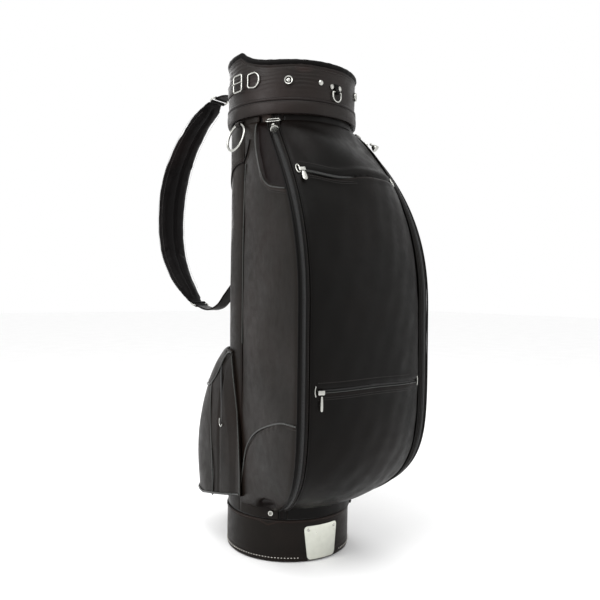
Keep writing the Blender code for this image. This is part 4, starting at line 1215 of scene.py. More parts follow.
        self.panel("gusset_" + word, surface, np.linspace(0.012, 0.988, 34), 220, rise, "front_leather",
                   self.finishes.front)
        heights = np.linspace(0.115, 0.782, 22)
        self.seams.zip("side_zip_" + word, surface, [(0.42, z) for z in heights], -0.0009, width=0.007)
        heights = np.linspace(0.100, 0.803, 26)
        self.seams.piping(f"side_zip_piping_{word}", surface, [(0.0, z) for z in heights], 0.0014, 0.0008,
                          material=self.finishes.padding, count=300)
        self.seams.piping(f"front_piping_{word}", surface, [(1.0, z) for z in heights], 0.0014, 0.0008,
                          "front_leather", self.finishes.front, 300)
        self.seams.stitches(f"gusset_stitch_{word}", surface, [(0.80, z) for z in heights], 0.0006,
                            "front_leather")

    def zip_line(self, share: Array, z: float) -> Array:
        """The height of a front zip: the upper dips left of the middle, the lower rises at the middle."""
        upper = z == self.upper_zip_z
        shape = -0.008 * ridge(share + 0.35, 0.35) if upper else 0.003 * ridge(share, 0.5)
        return z + 0.002 + shape

    def front(self) -> None:
        """The front panel: folds that fan out under the cuff, and two zips sunk between padded lips."""
        def rise(share: Array, z: Array, points: Array) -> tuple[Array, Array]:
            """Waves, fanning folds above the upper zip, a slot and two lips at each zip, and rolled edges.

            Args:
                share: the share of the way across.
                z: the height.
                points: points, with X, Y, Z last.

            Returns:
                Each point's height and tone.
            """
            height = soft_waves(points, 0.0012, 0.16, 31) + soft_waves(points, 0.0004, 0.05, 32)
            fan = np.degrees(np.arctan2(z - 0.83, share * 0.11 + 0.16))
            folds = np.sin(np.radians(fan * 8.0)) * ease((z - 0.60) / 0.12) * ease((0.81 - z) / 0.03)
            height += 0.0044 * folds * ease((1 - np.abs(share)) / 0.3)
            tone = np.zeros_like(z)
            for level in (self.upper_zip_z, self.lower_zip_z):
                off = z - self.zip_line(share, level)
                inside = ease((0.93 - np.abs(share)) / 0.03)
                lips = 0.0018 * ridge(off + 0.0075, 0.0050) + 0.0022 * ridge(off - 0.0085, 0.0060)
                height += inside * lips
                height -= inside * 0.0038 * ridge(off, 0.0026)
                tone += 0.7 * inside * ridge(off + 0.0055, 0.0022)
            height -= 0.0016 * ridge(1 - np.abs(share), 0.03)
            return height, tone

        self.panel("front_panel", self.form.front_panel, np.linspace(-0.995, 0.995, 130), 330, rise,
                   "front_leather", self.finishes.front)

    def front_trim(self) -> None:
        """Zips, their lips and stitch rows, and metal stops at their ends: ovals above, crescents below."""
        shares = np.linspace(-0.90, 0.90, 15)
        for name, level in (("upper", self.upper_zip_z), ("lower", self.lower_zip_z)):
            line = [(s, float(self.zip_line(s, level))) for s in shares]
            self.seams.zip(f"{name}_zip", self.form.front_panel, line, -0.0023, width=0.006)
            for number, gap in enumerate((-0.0105, -0.0140, 0.0135)):
                row = [(s, z + gap) for s, z in line]
                self.seams.stitches(f"{name}_zip_stitch_{number}", self.form.front_panel, row,
                                    0.0014, "front_leather")
            self.seams.piping(f"{name}_zip_lip", self.form.front_panel, [(s, z - 0.0030) for s, z in line],
                              0.0009, 0.0004, "front_leather")
            for side in Side:
                share = 0.935 * side.value
                z = float(self.zip_line(share, level))
                if name == "upper":
                    turns = np.linspace(0, 2 * np.pi, 13)
                    arc = [(share + 0.026 * math.cos(t), z + 0.0075 * math.sin(t)) for t in turns]
                else:
                    bend = -0.012 * side.value
                    arc = [(share + bend * k * k, z + 0.0085 * k) for k in np.linspace(-1, 1, 9)]
                stop = f"{name}_zip_stop_{side.word}"
                self.seams.piping(stop, self.form.front_panel, arc, 0.0010, 0.0018, "nickel",
                                  self.finishes.nickel, 60)


# ---------------------------------------------------------------- rear pocket


@dataclass
class RearPocket:
    """The ball pocket low on the spine: a shell with a raised flap, piping and an upright zip each side."""

    form: BodyForm
    finishes: Finishes
    seams: Seamwork
    half_w: float = 0.128
    depth: float = 0.200
    foot: float = POCKET_FOOT_Z
    full: float = 0.19
    top: float = 0.380
    base_r: float = 0.1258
    edge_r: float = 0.1215
    reach_z: tuple = (0.08, 0.156, 0.216, 0.287, 0.354, 0.380)
    reach_angle: tuple = (99.0, 98.5, 95.5, 88.0, 80.0, 77.0)
    zip_route: tuple = ((59.5, 0.347), (64, 0.318), (67, 0.29), (69, 0.262), (69.4, 0.240))
    inner_route: tuple = ((46, 0.318), (52, 0.262), (56, 0.20), (58, 0.13), (58, 0.09))
    hook_route: tuple = ((67.5, 0.246), (67.6, 0.236), (69.6, 0.2305), (71.6, 0.236))

    def reach(self, z: Array) -> Array:
        """How far round from the spine's middle the pocket goes, in degrees: further the lower down."""
        return np.interp(z, self.reach_z, self.reach_angle)

    def hem(self, off: Array) -> Array:
        """The height of the foot: level behind, and rising in a slow curve towards the two edges."""
        return self.foot + 0.030 * np.clip((off - 44) / 53, 0, 1) ** 0.8

    def shape(self, angle: Array, z: Array) -> Array:
        """A squared round of the fourth power, full at 190 mm, closing to the bag at its top and edges.

        Args:
            angle: the angle in degrees.
            z: the height.

        Returns:
            Points of the shell.
        """
        turn = np.radians(angle)
        sideways = (np.abs(np.cos(turn)) / self.half_w) ** 4
        squared = sideways + (np.clip(np.sin(turn), 0, None) / self.depth) ** 4
        full = squared ** -0.25
        up = np.clip((z - self.full) / (self.top - self.full), 0, 1)
        down = np.clip((self.full - z) / (self.full - self.foot), 0, 1)
        radius = self.base_r + (full - self.base_r) * (1 - up**2) ** 0.8 * (1 - 0.04 * down**2)
        off = np.abs(angle - 90)
        edge = np.minimum(radius, self.edge_r + 0.0010 * np.clip(off - 90, 0, None))
        radius = edge + (radius - edge) * np.clip((self.reach(z) - off) / 16, 0, 1) ** 0.5
        return cylinder(angle, radius, z)

    def flap(self, angle: Array) -> Array:
        """The height of the flap's lower edge: lowest behind, and turned up at both sides."""
        off = np.abs(angle - 90)
        return 0.300 + 0.075 * ease((off - 40) / 34)

    def build(self) -> None:
        """Builds the shell and its trim."""
        rise = np.sin(np.linspace(0, np.pi / 2, 120))
        share, high = np.meshgrid(np.linspace(-1, 1, 190), np.concatenate([[0.0], 0.004 + 0.996 * rise]))
        low = self.hem(np.abs(share) * self.reach_angle[0])
        z = low + (self.top - low) * high
        angle = 90 + share * self.reach(z)
        points = self.shape(angle, z)
        away = outward_all(angle)
        normal = normals_on(self.shape, angle, np.minimum(z, self.top - 0.0008))
        gap = z - self.flap(angle)
        height = soft_waves(points, 0.0012, 0.09, 41)
        height = height + 0.0016 * ease(gap / 0.002) - 0.0012 * ridge(gap, 0.0018)
        band = np.abs(np.abs(angle - 90) - 66.0)
        height -= 0.0016 * ridge(band, 1.6)
        height *= ease((z - low) / 0.006) * ease((self.top - z) / 0.006) * ease((1 - np.abs(share)) / 0.03)
        outer = points + normal * height[..., None]
        outer[0] = away[0] * 0.1198 + outer[0] * [0, 0, 1]
        spread = np.hypot(points[..., 0], points[..., 1]) - 0.0025
        spread = np.maximum(spread, 0.1190)[..., None]
        inner = away * spread + np.clip(z, low + 0.0022, self.top - 0.002)[..., None] * UP
        inner[0] = away[0] * 0.1190 + UP * (low[0] + 0.0015)[:, None]
        tone = 0.5 * ridge(gap - 0.002, 0.003)
        fit = own("rear_pocket", "body_leather")
        make_wall("rear_pocket", outer, inner, self.finishes.side, fit, tone=tone)
        self.trim()

    def trim(self) -> None:
        """Piping along the flap, the foot and the side edges, stitches, and the upright zips."""
        steps = np.linspace(12, 168, 40)
        flap = [(a, float(self.flap(a))) for a in steps]
        self.seams.piping("rear_flap_piping", self.shape, flap, 0.0015, 0.0012)
        row = [(a, float(self.flap(a)) + 0.007) for a in steps]
        self.seams.stitches("rear_flap_stitch", self.shape, row, 0.0020)
        foot = [(90 + off, float(self.hem(np.abs(off))) + 0.004) for off in np.linspace(-97, 97, 60)]
        self.seams.piping("rear_foot_piping", self.shape, foot, 0.0016, 0.0008)
        top = [(a, self.top - 0.006) for a in np.linspace(14, 166, 40)]
        self.seams.stitches("rear_top_stitch", self.shape, top, 0.0006)
        for word, sign in (("left", 1), ("right", -1)):
            line = [(90 + sign * off, z) for off, z in self.zip_route]
            self.seams.zip("rear_zip_" + word, self.shape, line, -0.0002, "body_leather", 0.008)
            edge = [(90 + sign * (float(self.reach(z)) - 0.6), z) for z in np.linspace(0.368, 0.114, 24)]
            self.seams.piping("rear_edge_piping_" + word, self.shape, edge, 0.0014, 0.0005)
            inner = [(90 + sign * off, z) for off, z in self.inner_route]
            self.seams.piping("rear_inner_piping_" + word, self.shape, inner, 0.0013, 0.0005)
            self.seams.stitches("rear_inner_stitch_" + word, self.shape,
                                [(a - sign * 3.0, z) for a, z in inner], 0.0006)
            hook = [(90 + sign * off, z) for off, z in self.hook_route]
            path, _ = self.seams.trace(self.shape, hook, 30, 0.0022)
            make_tube("rear_zip_hook_" + word, path, UP, 0.0010, self.finishes.nickel, Fit("nickel"),
                      sides=12)


# ---------------------------------------------------------------- base


@dataclass
class Base:
    """The leather sleeve round the moulded cup, and the riveted plate."""

    finishes: Finishes
    seams: Seamwork
    radius: float = 0.1195
    foot: float = 0.0015
    top: float = 0.077
    wall: float = 0.0021
    lip_points: tuple[float, float] = (214.6, 325.4)
    badge_angle: float = 264.0
    badge_top: float = 0.065
    badge_foot: float = 0.0035
    badge_w: tuple[float, float] = (0.074, 0.060)

    def skin(self, angle: Array, z: Array) -> Array:
        """A cylinder, by angle in degrees and height."""
        return cylinder(angle, self.radius, z)

    def lip(self, angle: Array) -> Array:
        """The lip's lower line: level, with a point 7 mm deep at each side of the front."""
        left, right = self.lip_points
        off = np.minimum(np.abs(angle - left), np.abs(angle - right))
        return self.top - 0.0040 - 0.007 * np.clip(1 - off / 9.0, 0, 1)

    def build(self) -> None:
        """Builds the sleeve, its stitches, the plate and its rivets."""
        around = np.linspace(0, 360, 300, endpoint=False)
        angle, z = np.meshgrid(around, np.linspace(self.foot, self.top, 60))
        over = z - self.lip(angle)
        points = self.skin(angle, z)
        edge = np.minimum(z - self.foot, self.top - z)
        height = soft_waves(points, 0.0003, 0.07, 51)
        height = height + 0.0011 * ease(over / 0.0012) - 0.0005 * ridge(over, 0.001)
        height -= 0.0007 * ridge(edge, 0.0012) + 0.0004 * ridge(z - 0.0145, 0.0014)
        beside = np.abs((angle - self.badge_angle + 180) % 360 - 180) * np.pi / 180 * self.radius
        height = np.where((beside < 0.040) & (z < 0.069), np.minimum(height, 0.0), height)
        tone = 1.0 * ridge(over - 0.0012, 0.0018) + 0.3 * ridge(edge, 0.003)
        make_sleeve("base_sleeve", points, angle, height, self.wall, self.finishes.side, tone)
        line = [(a, 0.0085) for a in np.linspace(self.badge_angle + 21 - 360, self.badge_angle - 21, 60)]
        self.seams.stitches("base_stitch", self.skin, line, 0.0006, pale=True, pitch=0.0060)
        line = [(a, self.top - 0.0018) for a in np.linspace(0, 358, 90)]
        self.seams.stitches("base_lip_stitch", self.skin, line, 0.0014)
        self.plate()

    def plate(self) -> None:
        """The pale plate, narrower at its foot, bent round the sleeve, with two domed rivets."""
        bend = self.radius + 0.0003
        height = self.badge_top - self.badge_foot
        outline = round_rectangle(self.badge_w[0], height, 0.0075)
        outline[:, 0] *= 1 - (1 - self.badge_w[1] / self.badge_w[0]) * (0.5 - outline[:, 1] / height)
        middle = (self.badge_top + self.badge_foot) / 2
        place = on_round(self.badge_angle, bend + 0.0006, middle)
        dense = densify(outline, 0.0012)
        make_bent_plate("badge_plate", dense, 0.0011, bend, place, self.finishes.badge,
                        own("badge_plate", "badge_steel"))
        spread = math.degrees((self.badge_w[0] / 2 - 0.009) / self.radius)
        for side in Side:
            spot = on_round(self.badge_angle + side.value * spread, bend + 0.0011, self.badge_top - 0.007)
            name = f"badge_rivet_{side.word}"
            dome(name, 0.0028, 0.0013, spot, self.finishes.nickel, own(name))


def outward_all(angle: Array) -> Array:
    """Unit vectors away from the bag's axis for an array of angles in degrees."""
    return cylinder(angle, 1.0, 0.0)


def make_sleeve(name: str, points: Array, angle: Array, height: Array, wall: float,
                material: bpy.types.Material, tone: Array) -> bpy.types.Object:
    """A leather wall all the way round the bag, that stands for the frame's node of its name.

    Args:
        name: the piece's name.
        points: its skin's points, rows by columns.
        angle: each point's angle in degrees.
        height: how far each point is raised.
        wall: how far inside the skin the inner face is.
        material: its material.
        tone: the outer face's tone.

    Returns:
        The object.
    """
    away = outward_all(angle)
    return make_wall(name, points + away * height[..., None], points - away * wall, material,
                     own(name, "body_leather"), wrap=True, tone=tone)


def densify(outline: Array, pitch: float) -> Array:
    """A closed outline with points no further apart than a pitch.

    Args:
        outline: a closed outline of (x, y) points.
        pitch: the distance from one to the next.

    Returns:
        The denser outline.
    """
    closed = np.concatenate([outline, outline[:1]])
    length = np.linalg.norm(np.diff(closed, axis=0), axis=1)
    run = np.concatenate([[0], np.cumsum(length)])
    marks = np.linspace(0, run[-1], max(int(run[-1] / pitch), 8), endpoint=False)
    return np.stack([np.interp(marks, run, closed[:, k]) for k in range(2)], axis=-1)


def make_bent_plate(name: str, outline: Array, thickness: float, bend: float, place: Matrix,
                    material: bpy.types.Material, fit: Fit) -> bpy.types.Object:
    """A plate bent about an upright axis: rings of its outline drawn in towards the middle, then wrapped.

    Args:
        name: the piece's name.
        outline: (x, y) points about the middle.
        thickness: from face to face.
        bend: the radius it is bent to.
        place: its middle, Z outward.
        material: its material.
        fit: the slot, body and replaced nodes.

    Returns:
        The object.
    """
    edge = thickness * 0.4
    shrink = [1.0, 1 - 0.012, 1 - 0.03, 0.8, 0.6, 0.4, 0.2, 0.02]
    height = [thickness / 2 - edge, thickness / 2 - edge * 0.3] + [thickness / 2] * 6
    rings = [outline * s for s in shrink[::-1]] + [outline * s for s in shrink]
    levels = height[::-1] + [-h for h in height]
    grid = np.stack([np.concatenate([ring, np.full((len(ring), 1), level)], axis=1)
                     for ring, level in zip(rings, levels)])
    swing = grid[..., 0] / bend
    reach = bend + grid[..., 2]
    grid = np.stack([reach * np.sin(swing), grid[..., 1], reach * np.cos(swing) - bend], axis=-1)
    rows, columns = grid.shape[:2]
    return make_piece(name, placed(grid, place), tube_faces(rows, columns), material, fit)


def dome(name: str, radius: float, height: float, place: Matrix, material: bpy.types.Material,
         fit: Fit) -> bpy.types.Object:
    """A rivet's low dome: height·cos of the share of the radius, over a short straight edge."""
    share = np.linspace(0.03, 1, 10)
    profile = [(radius * s, height * (0.3 + 0.7 * math.cos(s * math.pi / 2))) for s in share]
    return make_lathe(name, profile + [(radius, 0.0), (radius * 0.03, 0.0)], place, material, fit, 36)


# ---------------------------------------------------------------- cuff


@dataclass
class Cuff:
    """The leather cuff: padded rim, cover, lower band, and the padded six-way top inside it."""

    finishes: Finishes
    seams: Seamwork
    radius: float = CUFF_R
    wall: float = 0.0028
    foot: float = 0.816
    band_top: float = 0.845
    rim_front: float = 0.914
    rim_rear: float = 0.9395
    rim_r: float = 0.0053
    divider_z: float = BELT_Z
    divider_r: float = 0.1091

    def rim(self, angle: Array) -> Array:
        """The rim's top: it rises by the cube of the sine's share, slow in front and steep near the back."""
        share = np.clip((np.sin(np.radians(angle)) + 0.80) / 0.76, 0, 1)
        return self.rim_front + (self.rim_rear - self.rim_front) * share**3

    def skin(self, angle: Array, z: Array) -> Array:
        """The cover's cylinder."""
        return cylinder(angle, self.radius, z)

    def build(self) -> None:
        """Builds the cuff's soft pieces."""
        self.cover()
        self.band()
        self.roll()
        self.top()

    def cover(self) -> None:
        """The cover: fine level creases that deepen towards the rim, and a sewn groove that follows it."""
        angle, share = np.meshgrid(np.linspace(0, 360, 400, endpoint=False), np.linspace(0, 1, 90))
        top = self.rim(angle) - 0.0078
        z = self.foot + (top - self.foot) * share
        points = self.skin(angle, z)
        wander = soft_waves(points * [1, 1, 1.5], 1.0, 0.07, 61)
        folds = np.sin((z + 0.0035 * wander) * 2 * np.pi / 0.0075)
        folds = folds * ease(soft_waves(points, 1.0, 0.11, 62) + 0.3)
        height = soft_waves(points, 0.0006, 0.06, 63) + 0.00038 * folds * ease((share - 0.35) / 0.4)
        height -= 0.0009 * ridge(top - 0.0050 - z, 0.0010)
        height += 0.0007 * ridge(top - 0.0015 - z, 0.0025)
        tone = 0.45 * ridge(top - 0.010 - z, 0.006) * ease(wander)
        make_sleeve("cuff_cover", points, angle, height, self.wall, self.finishes.cuff, tone)
        rim = [(a, float(self.rim(a)) - 0.0165) for a in np.linspace(-170, 188, 120)]
        self.seams.stitches("rim_stitch", self.skin, rim, 0.0006, pitch=0.0036)

    def band(self) -> None:
        """The lower band: padded, with a seam near its top and rolled edges."""
        angle, share = np.meshgrid(np.linspace(0, 360, 360, endpoint=False), np.linspace(0, 1, 44))
        low, high = self.foot - 0.0005, self.band_top
        z = low + (high - low) * share
        points = self.skin(angle, z)
        body = np.clip(share / 0.80, 0, 1)
        lip = np.clip((share - 0.82) / 0.18, 0, 1)
        puff = 0.0012 + 0.0019 * np.sin(np.pi * body) ** 0.5 * (share < 0.8)
        puff += 0.0015 * np.sin(np.pi * lip) ** 0.5
        height = puff + soft_waves(points, 0.0004, 0.05, 64)
        # Painted shade: the band is painted dark in the groove of its seam, along its top edge and along its
        # foot.
        tone = -ridge(share - 0.81, 0.05) - ridge(share - 1.0, 0.06) - 0.6 * ridge(share, 0.05)
        make_sleeve("cuff_band", points, angle, height, -CLEARANCE, self.finishes.cuff, tone)
        line = [(a, low + (high - low) * 0.76) for a in np.linspace(0, 358, 90)]
        self.seams.stitches("band_stitch", self.skin, line, 0.0026, pitch=0.0038)

    def roll(self) -> None:
        """The padded roll on the rim, with small gathers along it."""
        angle = np.linspace(0, 360, 360, endpoint=False)
        middle = self.radius - self.wall / 2 - 0.0004
        path = outward_all(angle) * middle + (self.rim(angle) - self.rim_r + 0.0006)[:, None] * UP
        gathers = 1 + 0.05 * np.sin(np.radians(angle * 41)) * np.sin(np.radians(angle * 7 + 40))
        make_tube("rim_roll", path, UP, self.rim_r * gathers, self.finishes.padding,
                  own("rim_roll", "rim_padding"), closed=True, sides=20)

    def top(self) -> None:
        """The six-way top: a padded ring, two padded bars across and one fore and aft."""
        angle = np.linspace(0, 360, 160, endpoint=False)
        path = outward_all(angle) * self.divider_r + UP * self.divider_z
        make_tube("divider_ring", path, UP, 0.0050, self.finishes.padding,
                  own("divider_top", "rim_padding"), closed=True, sides=18, flat=2.2)
        half = math.sqrt(0.108**2 - 0.037**2)
        bars = [("bar_front", (-half, -0.037), (half, -0.037), 60, 0.0069),
                ("bar_rear", (-half, 0.037), (half, 0.037), 60, 0.0069),
                ("spar_front", (0, -0.107), (0, -0.0435), 40, 0.0066),
                ("spar_middle", (0, -0.0305), (0, 0.0305), 40, 0.0066),
                ("spar_rear", (0, 0.0435), (0, 0.107), 40, 0.0066)]
        for name, start, end, count, radius in bars:
            line = np.linspace([*start, self.divider_z], [*end, self.divider_z], count)
            make_tube("divider_" + name, line, UP, radius, self.finishes.padding, Fit("rim_padding"),
                      sides=18, flat=1.6)


# ---------------------------------------------------------------- metal fittings


@dataclass
class CuffFittings:
    """The belt round the cuff's back with its buckle and keeper, the snaps, rivets and towel ring."""

    finishes: Finishes
    seams: Seamwork
    cuff_r: float = CUFF_R
    belt_z: float = BELT_Z
    belt_h: float = 0.024
    belt_t: float = 0.0022
    belt_ends: tuple[float, float] = (-10.0, 190.5)
    buckle_angle: float = 180.5
    keeper_angle: float = 197.0
    snaps: tuple = (("left", 229.0), ("right", 311.0))
    rivets: tuple = ((256.8, 0.875), (268.2, 0.8715), (277.0, 0.8715))
    snap_z: float = 0.8755
    towel_angle: float = 272.6
    towel_z: float = 0.8625

    def build(self) -> None:
        """Builds every fitting on the cuff."""
        self.belt()
        self.buckle()
        self.keeper()
        for word, angle in self.snaps:
            self.snap(word, angle)
        for number, (angle, z) in enumerate(self.rivets, start=1):
            name = f"cuff_rivet_{number}"
            spot = on_round(angle, self.cuff_r + 0.0009, z)
            dome(name, 0.0046, 0.0024, spot, self.finishes.nickel, own(name))
        self.towel()

    def belt_skin(self, angle: Array, z: Array) -> Array:
        """The belt's outer face."""
        return cylinder(angle, self.cuff_r + CLEARANCE + self.belt_t, z)

    def belt(self) -> None:
        """The belt: full across its middle and rounded off to both edges by an eighth power."""
        angle, share = np.meshgrid(np.linspace(*self.belt_ends, 220), np.linspace(-1, 1, 24))
        z = self.belt_z + share * self.belt_h / 2
        round_off = (1 - np.abs(share) ** 8) ** 0.5
        sunk = (self.belt_t * 0.8 * (1 - round_off))[..., None]
        outer = self.belt_skin(angle, z) - outward_all(angle) * sunk
        inner = outward_all(angle) * (self.cuff_r + 0.0006) + z[..., None] * UP
        make_wall("cuff_belt", outer, inner, self.finishes.cuff, own("cuff_belt", "body_leather"),
                  tone=0.5 * ridge(np.abs(share) - 0.95, 0.06))
        for word, sign in (("low", -1), ("high", 1)):
            line = [(a, self.belt_z + sign * 0.0092) for a in np.linspace(-8.5, 188, 80)]
            self.seams.stitches("belt_stitch_" + word, self.belt_skin, line, 0.0002, pitch=0.0036)

    def buckle(self) -> None:
        """The rounded frame and the prong curled round its bar."""
        wire, lift = 0.0016, 0.0015
        radius = self.cuff_r + CLEARANCE + self.belt_t + CLEARANCE + wire + lift
        place = on_round(self.buckle_angle, radius, self.belt_z)
        frame = in_plane(densify(round_rectangle(0.026, 0.031, 0.0045), 0.0012))
        make_tube("buckle_frame", placed(frame, place), outward(self.buckle_angle), wire,
                  self.finishes.nickel, own("buckle_frame"), closed=True)
        bar, loop = 0.013, 0.0028
        turn = np.radians(np.linspace(235, 90, 14))
        curl = np.stack([-bar + loop * np.cos(turn), 0 * turn, loop * np.sin(turn)], axis=-1)
        run = np.linspace([-bar + 0.002, 0, loop], [bar + 0.0008, 0, loop], 14)
        path = placed(np.concatenate([curl, run]), place)
        make_tube("buckle_prong", path, UP, 0.00105, self.finishes.nickel,
                  own("buckle_prong", body="buckle_prong"), sides=12)

    def keeper(self) -> None:
        """The D-shaped keeper: a straight bar and a round bow, thick in the middle of its bow."""
        wire = 0.0014
        place = on_round(self.keeper_angle, self.cuff_r + CLEARANCE + wire + CLEARANCE, self.belt_z)
        turn = np.radians(np.linspace(-80, 80, 30))
        bow = np.stack([0.014 * np.cos(turn), 0.014 * np.sin(turn), 0 * turn], axis=-1)
        bar = np.linspace([-0.0115, 0.0095, 0], [-0.0115, -0.0095, 0], 16)
        path = np.concatenate([bow, [[-0.0100, 0.0122, 0]], bar, [[-0.0100, -0.0122, 0]]])
        radius = np.concatenate([0.00145 + 0.0003 * np.cos(turn) ** 2, np.full(len(bar) + 2, wire)])
        make_tube("keeper_ring", placed(path, place), outward(self.keeper_angle), radius,
                  self.finishes.nickel, own("keeper_ring", body="keeper_ring"), closed=True)

    def snap(self, word: str, angle: float) -> None:
        """A snap's cap: a raised rim, a sunk ring and a low dome, turned in one profile.

        Args:
            word: the word in its name.
            angle: its angle round the cuff in degrees.
        """
        profile = ((0.0002, 0.0036), (0.0022, 0.0034), (0.0034, 0.0026), (0.0044, 0.0024), (0.0056, 0.0030),
                   (0.0066, 0.0040), (0.0076, 0.0040), (0.0083, 0.0030), (0.0085, 0.0010), (0.0083, 0.0),
                   (0.0002, 0.0))
        place = on_round(angle, self.cuff_r + CLEARANCE, self.snap_z)
        make_lathe("snap_" + word, profile, place, self.finishes.nickel, own("snap_" + word), 56)
        ring = np.linspace(0, 2 * np.pi, 48, endpoint=False)
        path = np.stack([0.0045 * np.cos(ring), 0.0045 * np.sin(ring), 0 * ring + 0.0026], axis=-1)
        make_tube("snap_inlay_" + word, placed(path, place), outward(angle), 0.0010, self.finishes.padding,
                  Fit("nickel"), closed=True, sides=8)

    def towel(self) -> None:
        """The towel ring: a thin D in a folded leather tab."""
        wire, leather = 0.0014, 0.0018
        place = on_round(self.towel_angle, self.cuff_r + CLEARANCE, self.towel_z)
        axis = wire + CLEARANCE + leather
        turn = np.radians(np.linspace(-15, -165, 24))
        half, drop = 0.0098, 0.0098 * 0.8
        bow = np.stack([half * np.cos(turn), half * np.sin(turn) - drop, 0 * turn], axis=-1)
        left = np.linspace([-half, -drop, 0], [-half, -0.001, 0], 6)
        bar = np.linspace([-half + 0.0008, 0, 0], [half - 0.0008, 0, 0], 14)
        right = np.linspace([half, -0.001, 0], [half, -drop, 0], 6)
        path = np.concatenate([bow, left, bar, right]) + [0, 0, axis]
        make_tube("towel_ring", placed(path, place), outward(self.towel_angle), wire, self.finishes.nickel,
                  own("towel_ring", body="towel_ring"), closed=True, sides=14)
        fold_tab("towel_ring_tab", 0.0092, 0.015, leather, 0.0018, place, self.finishes.padding)


def fold_tab(name: str, width: float, height: float, thickness: float, hole: float, place: Matrix,
             material: bpy.types.Material) -> bpy.types.Object:
    """A leather strip down the bag's face and round a bar: a path swept with a flat section.

    Args:
        name: the piece's name.
        width: the strip's width.
        height: how far it reaches above the bar.
        thickness: the leather's thickness.
        hole: the radius left for the bar.
        place: a place at the bar on the bag's face, Y up, Z outward.
        material: its material.

    Returns:
        The object.
    """
    middle = hole + thickness / 2
    out = hole + thickness
    turn = np.radians(np.linspace(180, 395, 26))
    loop = np.stack([0 * turn, middle * np.sin(turn), out + middle * np.cos(turn)], axis=-1)
    drop = np.linspace([0, height, thickness / 2], [0, 0.0004, thickness / 2], 16)
    rise = np.array([[0, height * 0.42, thickness * 1.55], [0, height * 0.9, thickness * 1.5]])
    path = np.concatenate([drop, loop, smooth_path(np.concatenate([loop[-1:], rise]), 10)[1:]])
    tangent = unit(np.gradient(path, axis=0))
    normal = np.cross(tangent, [1.0, 0, 0])
    angle = np.linspace(0, 2 * np.pi, 20, endpoint=False)
    x = squash(np.cos(angle), 0.35) * width / 2
    n = squash(np.sin(angle), 0.35) * thickness * 0.48
    grid = path[:, None] + x[None, :, None] * np.array([1.0, 0, 0]) + n[None, :, None] * normal[:, None]
    faces = tube_faces(len(path), len(angle))
    return make_piece(name, placed(grid, place), faces, material, own(name, "body_leather"))


@dataclass
class SideRings:
    """The big ring that hangs under the cuff at each side seam."""

    finishes: Finishes
    height: float = 0.806
    radius: float = 0.0261
    wire: float = 0.00225
    tilt: float = 14.0
    face: float = SKIN_R + CLEARANCE + 0.0022

    def build(self) -> None:
        """Builds both rings and their tabs."""
        for side in Side:
            place = on_round(180.0 if side is Side.LEFT else 0.0, self.face, self.height)
            slack = self.radius - math.sqrt(self.radius**2 - 0.006**2)
            hole = self.wire + CLEARANCE + slack
            axis = place @ Matrix.Translation((0, 0, hole + 0.0020))
            hang = axis @ Matrix.Rotation(math.radians(-self.tilt), 4, "X")
            turn = np.linspace(0, 2 * np.pi, 96, endpoint=False)
            x, y = self.radius * np.cos(turn), self.radius * np.sin(turn) - self.radius
            path = np.stack([x, y, 0 * turn], axis=-1)
            name = f"side_ring_{side.word}"
            make_tube(name, placed(path, hang), np.array(hang)[:3, 2], self.wire, self.finishes.nickel,
                      own(name, body=name), closed=True, sides=20)
            fold_tab(f"side_ring_tab_{side.word}", 0.012, 0.0068, 0.0019, hole, place, self.finishes.cuff)


